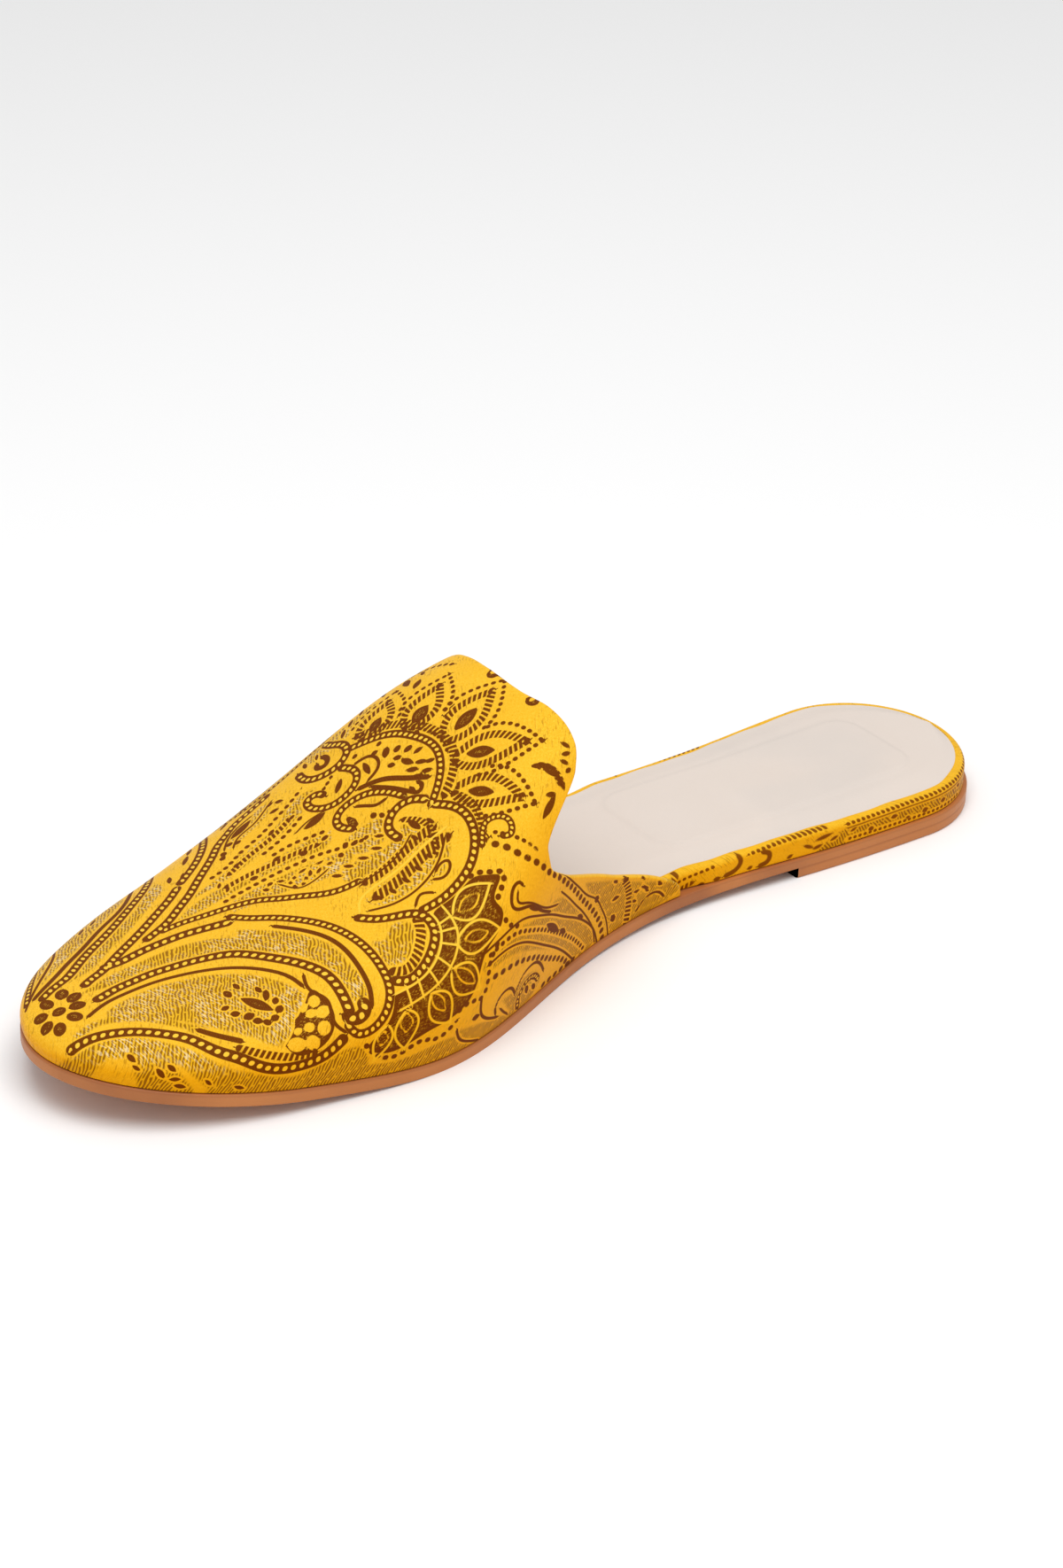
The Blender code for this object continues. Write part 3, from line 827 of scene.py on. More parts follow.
TONGUE_BANDS = (
    (BEADS, 2.1, ((95.8, -26), (98, -23.5), (100.3, -20.4), (101.8, -17), (102.8, -12.5),
     (103.3, -8), (102.9, -4.2), (101.5, -0.8), (99.3, 2.2), (96.5, 4.7), (94.6, 6))),
    (BEADS, 2.3, ((87.4, -33.5), (86.8, -30.5), (87.6, -27.6), (89.6, -25.6), (92, -24.8),
     (94.3, -25.6), (95.7, -27.8), (96, -30.6), (95.6, -33.6), (95.8, -36.5))),
    (LINE, 1.5, ((92.6, -32.2), (92.2, -29.6), (90.9, -28.6), (89.9, -29.8), (90.4, -31.2))),
    (BEADS, 2.1, ((91.6, -23.2), (92.2, -20.5), (91.9, -17.8), (90.2, -15.8), (87, -15.2),
     (84.2, -16.2), (82.4, -18.6), (82, -21.4), (83.2, -23.2), (84.8, -22.6), (85.4, -20.9))),
    (BEADS, 2.1, ((82.8, -5.8), (81.8, -8.6), (82.4, -11.2), (84.4, -12.6), (87, -12.4),
     (89.3, -11), (91, -8.6), (92.2, -5.6), (93, -2))),
    (LINE, 1.4, ((89.9, -13.5), (92.9, -10.8), (95.6, -5.4), (98, -0.4))),
    (LINE, 1.1, ((91.3, -10.8), (93.1, -5.8), (94.4, -0.6), (95.2, 0.8), (96.3, 0.2),
     (96.4, -1.4))),
    (BEADS, 1.5, ((95.4, 23.6), (97, 21.3), (98.4, 20.3), (99.9, 20.7), (101.5, 22.3), (102, 24.9),
     (101, 26.4), (99.6, 25.6))),
    (BARS, 1.5, ((89.6, 3.4), (91, 6.4), (91.4, 10), (90.4, 14), (88.2, 17))),
    (DOTS, 1.2, ((115.8, -34), (118, -30.5), (119.5, -26.8), (120.3, -22.8))),
    (BARS, 1.9, ((113, 19.6), (114.5, 21.4), (115.2, 23.2), (115.5, 25.8))),
    (LINE, 0.9, ((86.8, -10), (88, -7.6), (89, -5.9), (90.6, -5.2))),
    (LINE, 0.9, ((93.4, -20.6), (95.4, -19.4), (96.1, -16.6), (94.6, -13.9), (92, -13.4))),
    (BEADS, 2.3, ((86.4, 6), (86.6, 2.4), (88.4, 0), (91, -0.6), (93.2, 0.8), (94.6, 3.6))),
    (DOTS, 1.2, ((56, -20.4), (61, -21), (66, -23), (71, -24), (76, -25.6), (81, -27),
     (84.5, -28.3))),
    (DOTS, 1.2, ((67.5, -17.6), (71, -18), (75, -18.8), (79.5, -20.2))),
    (DOTS, 1.2, ((68.5, -15.4), (72, -15), (75, -13.9), (77.5, -12.3), (79.5, -11))),
    (DOTS, 1.2, ((53, -10.4), (57, -10.4), (62, -10), (67, -9.2), (71, -8), (74, -6.8), (76, -5.5),
     (78.5, -3.5), (82, -1))),
    (LINE, 0.5, ((76, -16.9), (79, -17.4), (82.6, -16.4))),
    (LINE, 0.5, ((64.5, -5.5), (65.3, -3), (66.5, -1.2), (69, -0.5), (73, -0.8))),
    (LINE, 0.6, ((64.5, -27.5), (67, -30.3), (71, -32.8), (75, -33.5))),
    (LINE, 0.6, ((66, -26.2), (69, -28.8), (73, -29.6), (77, -31.4), (80, -33))),
    (LINE, 0.5, ((75, 8.6), (80, 9.8), (85, 9.4), (88, 8))),
    (BARS, 2.6, ((76, 9.6), (80, 10.3), (84, 10.2), (88, 10.2), (91.5, 10.8))),
    (GOLD, 0.5, ((70.4, 15.4), (72.6, 12.6), (77, 12.1), (82, 12.8), (88, 12.8), (93, 13.6))),
    (BARS, 3, ((75, 14.8), (80, 15.2), (84, 15), (88, 14.8), (92, 15.6))),
    (LINE, 0.6, ((72, 16.8), (77, 19.6), (82, 20.4), (88, 18.6), (91.6, 15.4))),
    (LINE, 0.7, ((85, 21.5), (86.5, 22.7), (88.5, 22), (89, 20.2), (87.5, 19.6), (86.2, 20.2))),
    (DOTS, 1, ((104.3, -13.5), (105, -9.5), (104.8, -5.5), (103.7, -1.5))),
    (BARS, 2.2, ((98.4, -27.5), (101.4, -23.4), (103.9, -18), (105.2, -12), (105.5, -6.5),
     (104.8, -1.6), (102.8, 2.4), (100, 5.2), (97.2, 7))),
    (BARS, 1.9, ((98.4, 9), (99, 13), (98.4, 18), (96.6, 23))),
    (BARS, 1.6, ((57, -14.6), (62, -14.2), (67, -12.9), (72, -11.4), (76, -9.4))),
    (BARS, 1.6, ((60, -18.2), (66, -20), (72, -20.8), (78, -22.4))),
    (BEADS, 1.8, ((70, -43), (74, -40.6), (80, -39.6), (88, -39.4), (96, -40), (104, -42))),
)

# Columns: back and arc of the base, back and arc of the tip, width, then the heart's back, arc,
# length, width and turn in degrees
PETALS = (
    (103.2, -15.4, 115.3, -19.4, 9.4, 106.9, -16.2, 5.6, 4, -8),
    (104.6, -4.2, 119.6, -5.4, 10.4, 110.4, -4.3, 7.4, 3.6, 0),
    (102.9, 1.6, 115, 13.8, 8.8, 106.9, 6, 7.2, 3.1, 55),
    (98.6, 7.8, 107.2, 23.4, 7.6, 101.6, 13.8, 6.8, 2.6, 62),
    (98.2, -24.2, 108.6, -29.8, 9, 101.7, -25.5, 4.6, 3.2, -20),
    (83.4, 31.2, 92.8, 31.2, 6.6, 87.4, 31.2, 5, 2.1, 0),
    (81.6, 36, 92, 40.6, 6, 86.2, 37.9, 4.8, 1.8, 22),
    (78.8, 40.2, 85.4, 49.4, 5.8, 81.8, 43.6, 5.6, 2, 56),
    (73.2, 41.6, 77.4, 51.4, 5.4, 74.6, 44.4, 4.6, 1.9, 66),
    (67.2, 41.4, 66.2, 50, 5.6, 66.8, 44, 3.6, 2.2, 98),
    (62.6, 42, 59.4, 48.4, 4.4, 61.2, 44.2, 2.6, 1.6, 112),
)

# Columns: back, arc, length, width, turn in degrees
LEAVES = (
    (40.1, 22.4, 8, 2.6, 62), (88.3, -19.2, 4.6, 1.6, -40), (80, -15.9, 6.4, 2.3, 3),
    (71, -31.1, 7.4, 2.3, -18), (93.6, -16.6, 4.8, 1.6, -75), (96.7, -18.3, 2.2, 1.4, 25),
    (98, -11.5, 2.6, 1.4, 60), (96.3, -11.3, 2.6, 1.4, 60), (100.3, -11, 2.9, 1.6, 20),
    (101, -8.3, 2.9, 1.3, 20), (98.3, -8.4, 4.3, 1.7, 80), (97.6, -5.4, 4.1, 1.4, 60),
    (99.6, -5.1, 3.8, 1.3, 60), (97.3, -2.5, 4.1, 1.3, 65), (98.9, -1.9, 3.6, 1.3, 55),
    (100.6, -3.3, 3.1, 1.2, 50), (90, 6.6, 5, 1.7, 88), (92.2, 9.2, 3.4, 1, 85),
    (88.2, 9.4, 3.2, 1, 85), (78, 16.4, 3.2, 1, 80), (81.2, 16.6, 3.2, 1, 80),
    (84.4, 16.4, 3.2, 1, 80), (75.2, 15.4, 2.6, 1, 80), (87.4, 16, 2.6, 1, 80),
    (90.2, 12.4, 2.6, 1, 60), (56.1, -16.4, 2.4, 0.9, -50), (56.5, -13.7, 2.4, 0.9, -50),
    (62.5, -19.6, 2.2, 1.2, -20), (68.8, -13.6, 2.6, 1.3, -10), (73.3, -22.5, 2.4, 1.3, -30),
    (78.3, -22.2, 2.2, 1.1, -10), (80.4, -30.6, 2.6, 1.3, 60), (78, -28.7, 2.8, 1.3, 20),
    (79, -32.2, 2.4, 1.2, 0), (70.5, -3.2, 2.2, 1, -60), (72, -2.2, 2.2, 1, -30),
    (69.8, -5.3, 2.8, 0.9, 10), (73.4, -4.2, 2.6, 0.9, 20), (61.6, -6.6, 2.2, 1.1, 60),
    (65.2, -6.4, 2.4, 1, 45), (74.6, -2, 2.2, 1, 40), (76.4, 2.4, 3.4, 1, 60),
    (79.4, 3.4, 3.6, 1, 60), (82.4, 3.8, 3.6, 1, 60), (73.4, 2.6, 3.2, 1.1, 55),
    (84.6, 1.6, 3, 1, 60), (120.1, 19.2, 2.8, 1.1, 60), (119.3, 20.9, 2.6, 1.1, 20),
    (118.1, 22.2, 2.6, 1.1, 50), (118.2, 24.2, 1.9, 1.2, 0), (112.6, 19.2, 3.6, 1.3, 40),
    (114.4, 21.7, 5.4, 2.2, 65), (115.5, 25.2, 4.6, 1.4, 80), (110.8, 28, 6.4, 1.7, -25),
    (112.2, 26, 3, 1.2, 25), (110.5, -36.5, 5, 1.5, -60), (113.2, -31, 5.4, 2.1, -65),
    (116.4, -35, 4, 1.3, -50), (112.9, -26.2, 3.6, 2, -30), (116.6, -29.6, 3, 1.2, -60),
    (111, 57.4, 9, 2, 50), (116, 62.5, 4.4, 1.5, 50), (123, 63.5, 4.4, 1.3, 45),
    (103.4, 45.6, 6, 1.3, 42), (106, 66.6, 3.6, 1.3, 45), (103.6, 67.6, 3.8, 1.5, 70),
    (106.6, 69.8, 3.6, 1.4, 60), (129, 62.5, 3, 1.9, 60), (136.5, 66.8, 3.2, 1.5, 10),
    (136.8, 72.6, 3, 2, 60), (135.6, 61.6, 2.6, 1.2, 40), (144, 69.4, 2.4, 1.3, 20),
    (146.2, 69.4, 2.2, 1.2, 60), (147.6, 71, 2.4, 1.2, 60), (143.7, 71.9, 2.2, 1.2, 40),
    (145.8, 66.8, 2.2, 1.2, 40), (151.6, 71.8, 2.6, 1.3, 50), (11.6, 19.4, 2.6, 1.3, 70),
    (11.9, 21.8, 2.2, 0.9, 60), (15.7, 25.6, 3, 1.3, 70), (17.8, 25.8, 2.4, 1.2, 60),
    (18, 28.4, 2.6, 1, 30), (18.8, 30.6, 2.8, 1.2, 40), (30, 37.6, 2.6, 1, 40),
    (24, 32.8, 2.2, 0.9, 60), (85, 56.6, 2.6, 1.8, 20), (28.6, -29, 4.4, 1.2, -50),
    (32.5, -30.4, 4, 1.1, -45), (53.6, -26.8, 4.4, 1.5, -60), (51.4, -29, 3.6, 1.2, -60),
    (58.5, -34, 5.4, 1.4, -50), (62, -38.5, 5.4, 1.4, -55), (71.6, -39.4, 4.4, 1.3, -35),
    (78, -41.5, 3.6, 1.2, -20), (90, -35.4, 3.4, 1.2, -70), (92.4, -34.4, 2.8, 1, -60),
    (98.6, -33.6, 4, 1.3, -50), (101.6, -35.6, 4, 1.3, -50), (105, -36.8, 4.4, 1.3, -55),
)

SEEDS = (
    (10, -6, 3.9, 3, -53), (11.2, -3.2, 3.9, 2.9, -23), (10.2, -0.2, 3.7, 2.9, 17),
    (8, 2.6, 3.8, 2.9, 67), (4.3, 3.2, 3.8, 2.9, 115), (3, 0.3, 3.5, 2.9, 153),
    (3.6, -3.1, 3.4, 2.9, 34), (6.3, -5.5, 3.8, 2.9, 87), (6.7, -1.3, 3.1, 2.8, 0),
    (121.8, -9.8, 3.4, 3.2, 0), (121.1, 5.1, 3.4, 2.8, 80), (35, 22, 2, 1.7, 30),
    (37, 24.2, 2.4, 2, 0), (37.9, 26.2, 2, 1.7, 30), (39.4, 27.6, 1.9, 1.5, 60),
    (41.3, 27.6, 1.9, 1.7, 0), (43.2, 26.3, 2.1, 1.8, -30), (43.7, 24, 1.9, 1.5, -50),
    (43, 21.5, 3, 1.5, -60), (36.9, 16.2, 1.6, 2.6, 0), (39.6, 15.4, 1.2, 2.4, 0),
    (42.6, 19.2, 1.3, 2.2, 0), (34.2, 19.4, 1.8, 1.4, 0), (67.2, 38.4, 2.4, 2.1, 0),
    (69.9, 39.2, 2.3, 2.5, 0), (73, 39.2, 2.7, 2.3, 0), (76.3, 38.4, 3.2, 2.4, 35),
    (78.7, 36.7, 2.7, 2.5, -40), (80.7, 34.5, 2.4, 2.2, 0), (81.6, 32.1, 2.2, 2.1, 0),
    (81.5, 29.4, 2.3, 2.5, 0), (83.9, -7.4, 2, 4.4, 0), (97.8, -15.6, 3, 2, -50),
    (99.3, -13.6, 2.1, 1.7, 0), (86.5, -22.2, 1.3, 1.1, 0), (87.8, -22.8, 1.3, 1.1, 0),
    (89.2, -23.5, 1.3, 1.1, 0), (77.3, -1.8, 1.3, 1.7, 0), (79.5, -3.4, 1.3, 1.6, 0),
    (80.9, -1.9, 1.7, 1.4, 0), (83, -0.8, 1.4, 1.2, 0), (87.1, -4.2, 1.5, 1.9, 0),
    (88, -2.4, 1.4, 1.8, 0), (89.3, -1.6, 1.3, 1.2, 0), (66.3, -28.4, 1.8, 1.5, 0),
    (67.6, -27.1, 1.8, 1.4, 0), (62.3, -24.8, 1.5, 1.5, 0), (63.5, -26.2, 1.5, 1.8, 0),
    (62.2, -12.2, 2, 1.5, 20), (73.2, -9.8, 2, 1.8, 30), (78.3, -9.4, 2, 1.3, 0),
    (63.2, -7.6, 1.4, 1.2, 0), (66, -2.3, 1.1, 1.5, 30), (67.6, -4.9, 1.4, 1, 0),
    (69.1, -2.6, 1, 1.4, 0), (66.2, -4.2, 1.2, 1.1, 0), (67.7, -1.6, 1.3, 1, 0),
    (94.8, -1.2, 1, 2.6, 0), (65, 43.6, 1.2, 2, 0), (139.4, 63.4, 2.2, 1.7, 30),
    (98.6, -19.4, 1.5, 1.3, 0), (94.6, -22.6, 1.5, 1.3, 0), (99, -26.4, 1.3, 1.3, 0),
    (103.6, -12.6, 1.3, 1.8, 0), (45.2, 31.2, 1.9, 2.3, 0),
)

GOLD_SEEDS = (
    (122, -10.3, 1.5, 1.2, 0), (121.4, 4.7, 1.4, 1.1, 0), (42.8, 35, 4, 3, 25),
    (46.2, 36.4, 3.1, 3.2, 0), (49.4, 34.9, 3.2, 2.8, -40), (50.6, 31.8, 3.2, 2.6, -10),
    (50.2, 28.8, 2.9, 2.5, -60), (46.6, 33.2, 2.3, 2.1, 0), (44, 32.7, 2, 1.5, 0),
    (48.2, 30.8, 2.4, 2, 0), (47.6, 28.9, 2.4, 1.5, -40),
)

# Closed outlines of the hatched fields
FIELDS = (
    ((12, -8.7), (20, -10.4), (26, -13.8), (33, -17.3), (40, -21.3), (46, -25), (49, -28),
     (49, -31), (42, -26), (33, -21), (25, -16.2), (18, -12)),
    ((7, -11.5), (16, -17), (24, -21.5), (32, -26.5), (38, -30), (43, -36), (42, -42), (34, -38),
     (26, -33), (20, -28), (12, -21), (6, -14)),
    ((13, -3.2), (20, -5.2), (28, -5.6), (36, -5), (42, -3), (47, 0.5), (51, 5), (55, 11), (51, 12),
     (46.5, 5.8), (41, 2), (34, -1), (27, -2.4), (20, -2)),
    ((50, 0), (55, 6), (59, 13), (61, 20), (61.2, 27), (60.5, 34), (58, 34.5), (57.2, 30),
     (57.2, 24), (55.5, 18.5), (51.5, 12), (48, 6)),
    ((14, 5.5), (20, 4.3), (27, 4.6), (33, 6.4), (38, 9), (42, 12.4), (45.5, 17), (48.5, 23),
     (49, 27), (45, 29.6), (43, 32), (39, 33), (36, 30), (31, 24.5), (27, 19.5), (22, 14.5),
     (17, 10.5), (12.5, 8)),
    ((3, 10.8), (8, 12.5), (13, 15), (18, 19.5), (22, 24), (26, 29.5), (31, 34.8), (37, 39.6),
     (44, 42), (52, 41.6), (56, 43), (58, 47), (55, 52), (44, 48), (34, 43), (27, 37.8), (21, 29),
     (18, 24), (13.6, 19), (10, 16), (5, 14)),
    ((2, 9.4), (6.4, 12.4), (12, 15.8), (18, 22.8), (25.2, 30), (33.6, 36.4), (42.9, 42), (56, 46),
     (57, 53), (43, 49), (33.8, 45), (25, 40), (24, 35.5), (23.4, 30.9), (21.1, 27.6), (18.9, 25.6),
     (19.3, 28.5), (21, 34), (17.5, 33), (12, 28.5), (11.6, 24.8), (11.4, 20.8), (11.2, 19),
     (9.8, 17.9), (6.8, 16.3), (4.1, 17.4), (1.6, 13.5), (0.4, 8)),
    ((5, 7.2), (9.3, 6.8), (13.8, 7.9), (18.9, 10.8), (22.9, 15), (25.7, 19), (28.1, 22.3),
     (26.6, 23.7), (24.5, 20.3), (21.8, 16.7), (17.9, 12.6), (12.7, 9.6), (8.8, 8.5), (5.2, 8.6)),
    ((48, -17.2), (54, -18.5), (60, -19.6), (66, -21.6), (72, -22.6), (78, -24.6), (84, -26.2),
     (86, -24.6), (82, -24.4), (80.5, -21.4), (76, -20), (70, -19.2), (62, -17.4)),
    ((43, -12.8), (50, -11.8), (58, -11.8), (66, -10.8), (72, -9.2), (77, -6.8), (79.6, -9),
     (80, -11.4), (76, -12.4), (70, -13.8), (60, -15), (50, -15.2)),
    ((67.8, 24), (70, 25.6), (72.6, 23.6), (76, 26), (75.6, 29), (74, 31), (70.5, 32.2),
     (67.5, 31)),
    ((80, -4.6), (84, -4), (88, -1), (86, 3), (80, 2)),
    ((89.7, 3.1), (92.4, 8), (92.6, 13), (91.4, 17.6), (88.4, 21), (84.5, 22), (78.8, 15.5),
     (73.8, 8.5), (74.7, 2.5), (81.3, 4.4), (86.3, 5.6)),
    ((55, -9), (62, -8.6), (70, -6.4), (76, -3.6), (80, 0), (74, 1.4), (68, -0.6), (60, -4),
     (53, -7)),
    ((73, 13.6), (80, 13.6), (88, 14.4), (91, 14.6), (88, 18), (80, 19.4), (74, 17)),
    ((86, 43.2), (96, 44.2), (104, 48.6), (112, 50.5), (118, 55.8), (125, 64.8), (130, 76),
     (123, 76), (117, 69.6), (108, 60.6), (99, 52.5), (92, 48.6), (87, 46.6)),
    ((123, 54.4), (134, 60.5), (146, 68), (158, 77), (145, 78.5), (135, 77), (131.5, 68),
     (127, 61)),
    ((57, 48), (64, 52), (74, 54.6), (80, 57.5), (84, 63), (76, 61), (66, 56.5), (58, 53)),
    ((80, 56), (86, 59.4), (93, 64.6), (100, 69.6), (104, 73), (92, 69), (80, 63)),
    ((93.6, 60), (97, 62), (101, 62), (106, 65), (109, 70), (104, 73), (98, 68)),
    ((66, -25.4), (70, -27.6), (77, -29.8), (80, -34), (76, -33.8), (70, -33.4), (65, -28.6)),
    ((98, -31), (106, -31), (107, -34), (99, -37), (92, -38), (90, -36)),
)

# Closed outlines of the solid brown grounds
GROUNDS = (
    ((40.4, 34), (43, 32.4), (45, 30.4), (49, 27.6), (51.2, 26), (52.4, 29), (52.4, 34), (50.5, 37),
     (46, 38.3), (42, 36.8)),
    ((65.5, 37.2), (70, 37.6), (74, 37), (77.5, 34.9), (80, 31.8), (80.4, 27.8), (85, 27.8),
     (91, 27.8), (93.6, 29.8), (95.4, 31.6), (92.6, 34), (93.6, 38), (91.6, 41), (88, 42.4),
     (85.4, 46), (83, 49.6), (78, 50.6), (72, 49.6), (66, 49.4), (60.5, 47.4), (58, 44),
     (61.6, 42.2), (64, 40.2)),
)

# The outer side repeats what lies past this arc on the inner side, moved up by the shift, mm
REPEAT_FROM = 33.0
REPEAT_SHIFT = 9.0

# The wrapped edge of the board, in mm round the rim from the back of the heel and mm down from it
WRAP_BANDS = (
    (DOTS, 0.7, ((0, -1.5), (60, -1.4), (112, -1.4))),
    (DOTS, 0.9, ((2, 0.9), (20, 0.8), (40, 0.6), (62, 0.9))),
    (DOTS, 0.9, ((67, 0.2), (78, 0.4), (89, 0.9))),
    (DOTS, 0.9, ((98, 0.9), (103, 1.6), (109, 2.4))),
    (LINE, 0.35, ((0, 1.9), (20, 1.7), (44, 1.5), (62, 1.9))),
    (LINE, 1.3, ((91.6, 0.7), (91.4, 2.2), (92.8, 3.7), (95.2, 4.2))),
    (LINE, 1.3, ((85.2, 1.4), (83.6, 2.4), (83.8, 3.9), (86, 4.7))),
    (DOTS, 0.9, ((26, 5), (44, 4.9), (62, 4.8))),
    (BARS, 1.7, ((108, 0.4), (109.4, 2.4), (110.2, 4.6))),
    (BARS, 1.2, ((104, 3.6), (108, 4.4), (112, 4.6))),
)
WRAP_LEAVES = (
    (68.8, 2.3, 5.6, 1.1, 8), (73, 3.6, 3.6, 1, -25), (70.4, 4.4, 3.2, 1, 10),
    (65.8, 3.4, 2.8, 0.9, 20), (48.6, 2.8, 2.2, 1.2, 0), (55.3, 4, 1.9, 1.3, 0),
    (39.4, 3.9, 2, 1.4, 10), (33.5, 3.3, 1.9, 1.3, 0), (60.4, 2.7, 2.4, 0.8, 20),
    (26.4, 2.6, 2.2, 1, -20), (20, 4.2, 2, 1.2, 0), (12, 2.9, 2.2, 1.2, 30),
    (44.5, 4.3, 1.6, 0.9, 0), (97.6, 4.3, 2.2, 1.2, 0), (88.8, 4.4, 1.7, 1, 10),
    (78, 4.8, 2, 1, 20), (101.5, 4.6, 1.8, 1, 0),
)
WRAP_FIELDS = (
    ((1, 1.9), (20, 1.7), (44, 1.5), (60, 1.8), (66, 2.8), (70, 5.2), (40, 5.8), (1, 5.8)),
)


def spline(places: np.ndarray, pitch: float) -> np.ndarray:
    """A smooth line through a few places of the chart.

    Args:
        places: Rows of (back, arc) in mm.
        pitch: Distance between the points that come back, mm.

    Returns:
        Rows of (back, arc).
    """
    places = np.asarray(places, float)
    run = np.concatenate([[0.0], np.cumsum(np.linalg.norm(np.diff(places, axis=0), axis=1))])
    at = np.linspace(0.0, run[-1], max(int(run[-1] / pitch), 2) + 1)
    if len(places) < 3:
        return np.stack([np.interp(at, run, places[:, i]) for i in (0, 1)], -1)
    return np.stack([smooth_curve(list(run), list(places[:, i]))(at) for i in (0, 1)], -1)


def signed_distance(places: np.ndarray, outline: np.ndarray) -> np.ndarray:
    """Distance from each place to a closed outline, less than 0 inside it.

    Args:
        places: Rows of (back, arc).
        outline: The outline's corners.

    Returns:
        Distances in mm.
    """
    best = np.full(len(places), np.inf)
    inside = np.zeros(len(places), bool)
    for start, end in zip(outline, np.roll(outline, -1, axis=0)):
        step = end - start
        offset = places - start
        share = np.clip(offset @ step / max(float(step @ step), 1e-12), 0.0, 1.0)
        best = np.minimum(best, np.linalg.norm(offset - share[:, None] * step, axis=1))
        if step[1] != 0.0:
            spans = (start[1] > places[:, 1]) != (end[1] > places[:, 1])
            inside ^= spans & (offset[:, 0] < offset[:, 1] * step[0] / step[1])
    return np.where(inside, -best, best)


SHORT_PART = 3


def repeated(line: np.ndarray) -> list[np.ndarray]:
    """The stretches of a line that come again on the outer side of the foot.

    Args:
        line: Rows of (back, arc).

    Returns:
        Each stretch, in its new place.
    """
    held = line[:, 1] >= REPEAT_FROM
    cuts = np.flatnonzero(np.diff(held.astype(int))) + 1
    parts = [part for part in np.split(line, cuts) if part[0, 1] >= REPEAT_FROM]
    return [part * (1.0, -1.0) - (0.0, REPEAT_SHIFT) for part in parts if len(part) > SHORT_PART]


BAND_LAYERS = 4
BAND_MARGIN = 0.75
FAR = 1.5
LINE_PITCH = 0.6
FIELD_PITCH = 1.0
LEAF_STEP = 0.3
RING_OUT = 0.75


